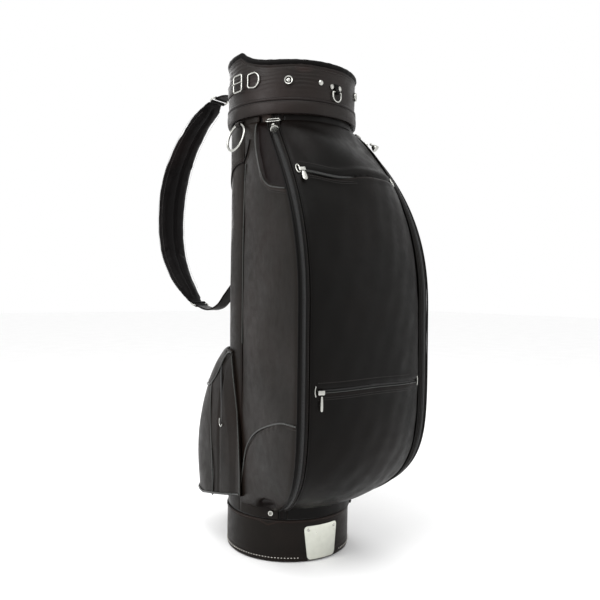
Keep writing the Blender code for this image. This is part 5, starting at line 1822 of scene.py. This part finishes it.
@dataclass
class Sliders:
    """Zip sliders and pulls, each built in the place of its plain stand-in."""

    form: BodyForm
    finishes: Finishes
    rear: RearPocket
    size: tuple[float, float, float] = (0.0125, 0.0085, 0.0040)
    lift: float = 0.0008
    pull_lift: float = 0.0022
    bell_lift: float = 0.0088

    def build(self) -> None:
        """Builds every slider and pull."""
        fronts = (("upper_zip", UPPER_ZIP_Z, 0.1075, 0.0085, 0.0190),
                  ("lower_zip", LOWER_ZIP_Z, 0.1120, 0.0046, 0.0250))
        for name, z, across, width, length in fronts:
            front_x = float(self.form.edges(np.array(z))[2][0])
            place = self.place_on(self.form.front_panel, -across / front_x, z)
            self.slider(name + "_slider", self.size, place)
            self.pull(name + "_pull", width, length, 0.0018, place, self.size[1])
        place = self.place_on(self.rear.shape, 23.0, 0.232)
        self.slider("rear_zip_slider", (self.size[1], self.size[0], self.size[2]), place)
        self.pull("rear_zip_pull", 0.0040, 0.0170, 0.0016, place, self.size[0])
        for side in Side:
            self.side_zip(side)

    def place_on(self, surface: Surface, u: float, z: float) -> Matrix:
        """A slider's middle on a surface, Y up along it and Z outward."""
        at, high, low = (surface(np.array(u), np.array(z + step)) for step in (0.0, 0.002, -0.002))
        normal = normals_on(surface, np.array(u), np.array(z))
        return facing(normal, high - low, at + normal * (self.lift + self.size[2] / 2))

    def slider(self, name: str, size: Sequence[float], place: Matrix) -> None:
        """A slider: a block with rounded edges and corners, waisted where it is wider than it is high.

        Args:
            name: the piece's name.
            size: its width, height and depth.
            place: its place, with Z outward.
        """
        width, height, depth = (value * 0.97 for value in size)
        outline = densify(round_rectangle(width, height, min(width, height) * 0.3), 0.0006)
        waist = 1 - 0.12 * np.cos(np.clip(outline[:, 0] / width, -0.5, 0.5) * np.pi) ** 2
        outline[:, 1] *= waist if width > height else 1.0
        make_plate(name, outline, depth, 0.0009, place, self.finishes.nickel, own(name, body=name))

    def pull(self, name: str, width: float, length: float, thickness: float, place: Matrix,
             reach: float) -> None:
        """A pull: a slab with round ends and a thick rounded edge, hung below its slider.

        Args:
            name: the piece's name.
            width: its width.
            length: its length.
            thickness: its thickness.
            place: its place, with Z outward.
            reach: the slider's height.
        """
        drop = reach / 2 + CLEARANCE + thickness / 2
        hang = place @ Matrix.Translation((0, -drop - length / 2, self.pull_lift))
        outline = densify(round_rectangle(width * 0.98, length, width * 0.42), 0.0007)
        outline[:, 0] *= 0.80 + 0.20 * np.cos(np.clip((outline[:, 1] / length + 0.15), -0.5, 0.5) * np.pi)
        make_plate(name, outline, thickness, thickness * 0.42, hang, self.finishes.nickel,
                   own(name, body=name))

    def side_zip(self, side: Side) -> None:
        """A long side zip's end ring, slider and bell-shaped pull with a ball at its head.

        Args:
            side: the side.
        """
        sign, word = side.value, side.word
        surface = self.form.gusset(sign)
        ring = self.gusset_place(surface, sign, 0.8010, 0.0011 + 2 * CLEARANCE)
        path = placed(in_plane(densify(round_rectangle(0.027, 0.013, 0.0062), 0.0008)), ring)
        name = "side_zip_end_ring_" + word
        make_tube(name, path, np.array(ring)[:3, 2], 0.0012, self.finishes.nickel, own(name),
                  closed=True, sides=14)
        place = self.gusset_place(surface, sign, 0.7865, self.lift + self.size[2] / 2)
        size = (self.size[1] * 0.8, self.size[0] * 0.7, self.size[2])
        self.slider("side_zip_slider_" + word, size, place)
        out = self.bell_lift - self.lift - self.size[2] / 2
        hang = place @ Matrix.Translation((0, -size[1] / 2 - CLEARANCE, out))
        profile = smooth_path(((0.0003, 0.0), (0.0020, -0.0008), (0.0026, -0.0030), (0.0019, -0.0050),
                               (0.0021, -0.0062), (0.0044, -0.0092), (0.0062, -0.0135), (0.0069, -0.0170),
                               (0.0069, -0.0182), (0.0003, -0.0185)), 46)
        stand = hang @ Matrix.Rotation(math.radians(-90), 4, "X")
        name = "bell_pull_" + word
        make_lathe(name, profile, stand, self.finishes.nickel, own(name, body=name), 40)

    def gusset_place(self, surface: Surface, sign: int, z: float, lift: float) -> Matrix:
        """A place on the gusset's middle, Y up along the zip and Z outward.

        Args:
            surface: the surface.
            sign: the side's sign.
            z: the height.
            lift: how far it stands off the surface.

        Returns:
            The place.
        """
        middle, height = np.array(0.5), np.array(z)
        _, side, front = self.form.edges(height)
        across = np.array([float(side[0] - front[0]) * sign, float(side[1] - front[1]), 0.0])
        up = surface(middle, height + 0.003) - surface(middle, height - 0.003)
        normal = unit(np.cross(across, up))
        point = surface(middle, height)
        normal = normal if normal @ point > 0 else -normal
        return facing(normal, up, point + normal * lift)


# ---------------------------------------------------------------- shoulder strap


@dataclass
class ShoulderStrap:
    """The padded strap with its channels, the metal links and staples, and the leather tabs."""

    finishes: Finishes
    line_y: float = 0.1375
    angle: float = 102.0
    route: tuple = ((0.112, 0.919), (0.134, 0.9025), (0.175, 0.872), (0.219, 0.820), (0.249, 0.762),
                    (0.2645, 0.700), (0.2665, 0.640), (0.2560, 0.580), (0.231, 0.530), (0.200, 0.493),
                    (0.1700, 0.465))
    upper_tab: tuple = ((0.0032, BELT_Z), (0.018, 0.889), (0.038, 0.908), (0.066, 0.9245), (0.0975, 0.9255))
    lower_tab: tuple = ((0.0032, 0.530), (0.018, 0.524), (0.042, 0.508), (0.066, 0.484), (0.090, 0.460),
                        (0.120, 0.4500), (0.1562, 0.4571))
    width: float = 0.087
    end_width: float = 0.040
    thick: float = 0.022
    end_thick: float = 0.007
    voxel: float = 0.0048
    swell_cap: float = 0.004
    pressure: float = 4.0
    cloth_frames: int = 20
    smoothing: int = 2
    wire: float = 0.0017

    def build(self) -> None:
        """Builds the pad and its metal and leather."""
        self.pad()
        self.tab("strap_upper_tab", self.upper_tab)
        self.tab("strap_lower_tab", self.lower_tab)
        self.link("strap_upper_link", self.upper_tab[-1], self.route[0])
        self.link("strap_lower_link", self.lower_tab[-1], self.route[-1])
        self.staple("strap_upper_anchor", 0.1270, self.upper_tab[0][1])
        self.staple("strap_lower_anchor", 0.1185, self.lower_tab[0][1])

    def at(self, places: Array) -> Array:
        """Points in the strap's plane from (distance, height) pairs."""
        return np.array([0, self.line_y, 0]) + places[:, :1] * outward(self.angle) + places[:, 1:] * UP

    def axes(self, path: Array) -> tuple[Array, Array]:
        """The directions across and out of the strap at each point of its path."""
        along = unit(np.gradient(path, axis=0))
        across = np.broadcast_to(outward(self.angle - 90), along.shape)
        return across, -unit(np.cross(across, along))

    def fill(self, share: Array) -> Array:
        """How full the pad is along its length: the sine of the share, to the power 0.6."""
        return np.sin(np.pi * np.clip(share, 0.0, 1.0)) ** 0.6

    def oval(self, path: Array, across: Array, out: Array, half_w: Array, half_t: Array, sides: int,
             powers: tuple[float, float]) -> Array:
        """A grid round a path: a superellipse of half_w by half_t, squared off by two powers.

        Args:
            path: points along the middle.
            across: the direction across, at each point.
            out: the direction out, at each point.
            half_w: half the width at each point.
            half_t: half the thickness at each point.
            sides: points round it.
            powers: the powers across and out.

        Returns:
            The grid.
        """
        angle = np.linspace(0, 2 * np.pi, sides, endpoint=False)
        x, y = squash(np.cos(angle), powers[0]), squash(np.sin(angle), powers[1])
        return (path[:, None] + (half_w[:, None] * x)[..., None] * across[:, None]
                + (half_t[:, None] * y)[..., None] * out[:, None])

    def pad(self) -> None:
        """The pad: a superelliptic section on the route, blown up as cloth, then channelled and stitched."""
        path = self.at(smooth_path(self.route, 90))
        across, out = self.axes(path)
        share = np.linspace(0, 1, 90)
        half_w = (self.end_width + (self.width - self.end_width) * self.fill(share)) / 2 - 0.0015
        half_t = (self.end_thick + (self.thick - self.end_thick) * self.fill(share)) / 2 - 0.0020
        half_t = np.maximum(half_t, 0.0022)
        grid = self.oval(path, across, out, half_w, half_t, 40, (0.75, 0.75))
        pad = make_piece("shoulder_strap", grid, tube_faces(*grid.shape[:2]), self.finishes.strap,
                         own("shoulder_strap", "strap_leather", "strap"), sharp=180)
        self.inflate(pad)
        self.refine(pad)
        self.channel(pad, path, across, out)
        self.stitching(path, across, out, half_w, half_t)

    def inflate(self, pad: bpy.types.Object) -> None:
        """Blows the pad up a little as cloth, with each point's movement capped.

        Args:
            pad: the pad.
        """
        remesh = pad.modifiers.new("Even", "REMESH")
        remesh.mode = "VOXEL"
        remesh.voxel_size = self.voxel
        self.apply(pad)
        start = self.coordinates(pad)
        cloth = pad.modifiers.new("Fill", "CLOTH")
        cloth.settings.use_pressure = True
        cloth.settings.uniform_pressure_force = self.pressure
        cloth.settings.effector_weights.gravity = 0.0
        cloth.settings.quality = 4
        scene = bpy.context.scene
        for frame in range(1, self.cloth_frames + 1):
            scene.frame_set(frame)
        self.apply(pad)
        scene.frame_set(1)
        moved = self.coordinates(pad) - start
        length = np.linalg.norm(moved, axis=1, keepdims=True)
        moved *= np.minimum(1.0, self.swell_cap / np.maximum(length, 1e-9))
        self.move(pad, start + moved)

    def refine(self, pad: bpy.types.Object) -> None:
        """Subdivides the pad and shades it smooth."""
        smooth = pad.modifiers.new("Smooth", "SUBSURF")
        smooth.levels = smooth.render_levels = self.smoothing
        self.apply(pad)
        pad.data.shade_smooth()

    def apply(self, pad: bpy.types.Object) -> None:
        """Bakes the modifiers into the mesh."""
        view = bpy.context.evaluated_depsgraph_get()
        mesh = bpy.data.meshes.new_from_object(pad.evaluated_get(view))
        pad.modifiers.clear()
        pad.data = mesh

    def coordinates(self, piece: bpy.types.Object) -> Array:
        """The mesh's points as an array."""
        flat = np.empty(len(piece.data.vertices) * 3, np.float32)
        piece.data.vertices.foreach_get("co", flat)
        return flat.reshape(-1, 3).astype(float)

    def move(self, piece: bpy.types.Object, points: Array) -> None:
        """Writes an array back as the mesh's points."""
        piece.data.vertices.foreach_set("co", points.astype(np.float32).reshape(-1))
        piece.data.update()

    def channel(self, pad: bpy.types.Object, path: Array, across: Array, out: Array) -> None:
        """Presses in the centre groove, the side seams and soft creases, by each point's place on the path.

        Args:
            pad: the pad.
            path: the pad's middle line.
            across: the direction across, at each point.
            out: the direction out, at each point.
        """
        points = self.coordinates(pad)
        nearest = np.concatenate([np.linalg.norm(chunk[:, None] - path[None], axis=2).argmin(axis=1)
                                  for chunk in np.array_split(points, 40)])
        offset = points - path[nearest]
        sideways = (offset * across[nearest]).sum(axis=1)
        proud = (offset * out[nearest]).sum(axis=1)
        share = nearest / (len(path) - 1)
        ends = ease(share / 0.10) * ease((1 - share) / 0.10)
        half = self.end_width + (self.width - self.end_width) * self.fill(share)
        groove = 0.0036 * ridge(sideways, 0.0042) + 0.0022 * ridge(np.abs(sideways) - half * 0.42, 0.0022)
        depth = groove * ends * np.clip(np.abs(proud) / 0.004, 0, 1)
        waves = soft_waves(points * [1, 1, 1.6], 0.0007, 0.045, 71) * ends
        points += out[nearest] * (np.sign(proud) * (waves - depth))[:, None]
        self.move(pad, points)

    def stitching(self, path: Array, across: Array, out: Array, half_w: Array, half_t: Array) -> None:
        """A row of stitches along both side seams, on the outer and the inner face.

        Args:
            path: points along the middle.
            across: the direction across, at each point.
            out: the direction out, at each point.
            half_w: half the width at each point.
            half_t: half the thickness at each point.
        """
        inside = slice(9, 81)
        for face, sign in (("outer", 1), ("inner", -1)):
            for name, reach in (("left", -0.84), ("right", 0.84)):
                height = half_t * (1 - abs(reach) ** 2.6) ** 0.375 + 0.0012
                row = path + across * (half_w * reach)[:, None] + out * (sign * height)[:, None]
                make_stitches(f"strap_stitch_{face}_{name}", row[inside], out[inside] * sign,
                              self.finishes.thread, Fit("strap_leather", "strap"), 0.0048, 0.0033, 0.0004)

    def tab(self, name: str, route: tuple) -> None:
        """A leather tab: a flat rounded section along its route, with a barrel round the staple.

        Args:
            name: the piece's name.
            route: (distance, height) points in the strap's plane.
        """
        path = self.at(smooth_path(route, 60))
        across, out = self.axes(path)
        share = np.linspace(0, 1, 60)
        half = 0.004 + 0.013 * ease(share / 0.32)
        swell = 0.0018 + 0.0006 * np.sin(share * np.pi * 5) ** 2 * ease(share / 0.3)
        grid = self.oval(path, across, out, half, swell, 24, (0.4, 0.5))
        fit = own(name, "strap_leather", "strap")
        make_piece(name, grid, tube_faces(*grid.shape[:2]), self.finishes.strap, fit, sharp=70)
        place = Matrix.Translation((0, self.line_y, route[0][1]))
        profile = ((0.0020, 0.0068), (0.0040, 0.0070), (0.0048, 0.0058), (0.0048, -0.0058),
                   (0.0040, -0.0070), (0.0020, -0.0068), (0.0020, 0.0068))
        make_lathe(name + "_barrel", profile, place, self.finishes.strap, Fit("strap_leather", "strap"), 28)
        for word, sign in (("left", -1), ("right", 1)):
            row = path + across * (sign * (half - 0.0026))[:, None] + out * (swell + 0.0001)[:, None]
            make_stitches(f"{name}_stitch_{word}", row[14:57], out[14:57], self.finishes.thread,
                          Fit("strap_leather", "strap"), 0.0040, 0.0028, 0.0004)

    def link(self, name: str, tab_end: Sequence[float], strap_end: Sequence[float]) -> None:
        """A rounded rectangular link between a tab and the pad, with a leather loop round both its bars.

        Args:
            name: the piece's name.
            tab_end: the tab's end, as (distance, height).
            strap_end: the pad's end, as (distance, height).
        """
        first, second = self.at(np.array([tab_end, strap_end]))
        along = unit(second - first)
        length = float(np.linalg.norm(second - first)) - 2 * (0.0016 + CLEARANCE)
        normal = np.cross(outward(self.angle - 90), along)
        place = facing(normal, along, (first + second) / 2)
        path = placed(in_plane(densify(round_rectangle(0.046, length, 0.0035), 0.0012)), place)
        make_tube(name, path, normal, self.wire, self.finishes.nickel, own(name, body="strap"), closed=True)
        side = outward(self.angle - 90)
        for word, sign, half in (("tab", -1, 0.0165), ("pad", 1, 0.0190)):
            middle = (first + second) / 2 + along * (sign * length / 2)
            sleeve = np.linspace(middle - side * half, middle + side * half, 24)
            make_tube(f"{name}_{word}_loop", sleeve, normal, 0.0036, self.finishes.strap,
                      Fit("strap_leather", "strap"))

    def staple(self, name: str, radius: float, z: float) -> None:
        """An upright wire staple on the spine, with round corners.

        Args:
            name: the piece's name.
            radius: how far from the axis its feet are.
            z: the height of its middle.
        """
        half, corner = 0.011, 0.0026
        low, high = z - half, z + half
        path = [(0, radius, low), (0, self.line_y - corner, low), (0, self.line_y, low + corner),
                (0, self.line_y, high - corner), (0, self.line_y - corner, high), (0, radius, high)]
        make_tube(name, smooth_path(path, 60), np.array([1.0, 0, 0]), self.wire, self.finishes.nickel,
                  own(name))


# ---------------------------------------------------------------- studio


@dataclass
class Studio:
    """Camera, floor, world and soft lights."""

    view_angle: float = -38.0
    distance: float = 1.31
    height: float = 0.496
    lens: float = 39.3
    shift: tuple[float, float] = (0.0167, -0.0167)
    roll: float = 0.6

    def build(self) -> None:
        """Builds the studio."""
        self.camera()
        self.floor()
        self.lights()
        settings = bpy.context.scene.view_settings
        settings.view_transform = "Standard"
        settings.look = "None"

    def away(self, angle: float) -> Array:
        """The level unit vector from the bag towards a viewer at an angle from the front."""
        turn = math.radians(angle)
        return np.array([math.sin(turn), -math.cos(turn), 0.0])

    def camera(self) -> None:
        """A level camera with a slight roll."""
        data = bpy.data.cameras.new("camera")
        data.lens = self.lens
        data.sensor_width = 36.0
        data.shift_x, data.shift_y = self.shift
        camera = bpy.data.objects.new("camera", data)
        bpy.context.scene.collection.objects.link(camera)
        back = self.away(self.view_angle)
        right = outward(self.view_angle)
        turn = math.radians(self.roll)
        x_axis = right * math.cos(turn) + UP * math.sin(turn)
        y_axis = -right * math.sin(turn) + UP * math.cos(turn)
        place = Matrix(np.stack([x_axis, y_axis, back], axis=1).tolist()).to_4x4()
        place.translation = Vector((back * self.distance + UP * self.height).tolist())
        camera.matrix_world = place
        bpy.context.scene.camera = camera

    def floor(self) -> None:
        """A wide pale floor."""
        mesh = bpy.data.meshes.new("floor")
        far = 12.0
        corner_points = [(-far, -far, 0), (far, -far, 0), (far, far, 0), (-far, far, 0)]
        mesh.from_pydata(corner_points, [], [(0, 1, 2, 3)])
        nodes = Nodes("floor")
        grain = nodes.span(nodes.noise(6.0), 0.3, 0.7, 0.95, 0.98)
        mesh.materials.append(nodes.finish(Base_Color=grain, Roughness=0.9))
        floor = bpy.data.objects.new("floor", mesh)
        floor.location.z = -0.0005
        bpy.context.scene.collection.objects.link(floor)
        floor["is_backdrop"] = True

    def area(self, name: str, angle: float, distance: float, height: float, size: tuple[float, float],
             power: float, aim: float) -> None:
        """A rectangular light that faces the bag's axis at a height.

        Args:
            name: the light's name.
            angle: its angle from the front in degrees.
            distance: how far it is from the axis.
            height: its height.
            size: its width and height.
            power: its power in watts.
            aim: the height it faces.
        """
        data = bpy.data.lights.new(name, "AREA")
        data.shape = "RECTANGLE"
        data.size, data.size_y = size
        data.energy = power
        light = bpy.data.objects.new(name, data)
        spot = self.away(angle) * distance + UP * height
        light.location = Vector(spot.tolist())
        aim_at = Vector((0, 0, aim)) - light.location
        light.rotation_euler = aim_at.to_track_quat("-Z", "Y").to_euler()
        bpy.context.scene.collection.objects.link(light)

    def lights(self) -> None:
        """An even white world, a large key at the bag's left, a fill, a light behind and a top light."""
        world = bpy.data.worlds.new("studio")
        world.use_nodes = True
        background = world.node_tree.nodes["Background"]
        background.inputs["Color"].default_value = (1.0, 1.0, 1.0, 1.0)
        background.inputs["Strength"].default_value = 1.0
        bpy.context.scene.world = world
        self.area("key", -88.0, 1.6, 1.45, (0.9, 1.2), 20.0, 0.80)
        self.area("fill", 30.0, 2.2, 1.0, (1.2, 1.6), 6.0, 0.5)
        self.area("back", 165.0, 1.8, 1.3, (1.0, 1.2), 9.0, 0.6)
        self.area("top", -38.0, 0.9, 2.1, (1.0, 1.0), 12.0, 0.8)


def dress_frame(frame: dict, finishes: Finishes) -> None:
    """Gives the hidden structure that stays as modelled its plastic, board and lining.

    Args:
        frame: the frame's nodes.
        finishes: the finishes.
    """
    dress = {"base_cup": finishes.plastic, "cuff_collar": finishes.plastic, "club_tube": finishes.lining}
    for name in ("divider_wall_front", "divider_wall_rear", "divider_centre_front", "divider_centre_middle",
                 "divider_centre_rear", "pocket_shelf", "pocket_wall_left", "pocket_wall_right"):
        dress[name] = finishes.lining
    for name, material in dress.items():
        node = frame["nodes"][name]
        for slot in node.material_slots:
            slot.material = material
        LOG.info("%s: kept, in %s", name, material.name)


def corners() -> list[list[float]]:
    """The shown object's lowest and highest corner."""
    return [[float(value) for value in corner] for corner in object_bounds()]


def main() -> None:
    """Loads the frame, sets up the studio, and builds each sub-assembly around the frame."""
    logging.basicConfig(level=logging.INFO, format="%(name)s %(message)s")
    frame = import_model()
    Studio().build()
    finishes = Finishes()
    form = BodyForm()
    seams = Seamwork(finishes)
    dress_frame(frame, finishes)
    rear = RearPocket(form, finishes, seams)
    for assembly in (Base(finishes, seams), BodyPanels(form, finishes, seams), rear, Cuff(finishes, seams),
                     CuffFittings(finishes, seams), SideRings(finishes), Sliders(form, finishes, rear),
                     ShoulderStrap(finishes)):
        assembly.build()
        LOG.info("%s is done", type(assembly).__name__)


if __name__ == "__main__":
    main()
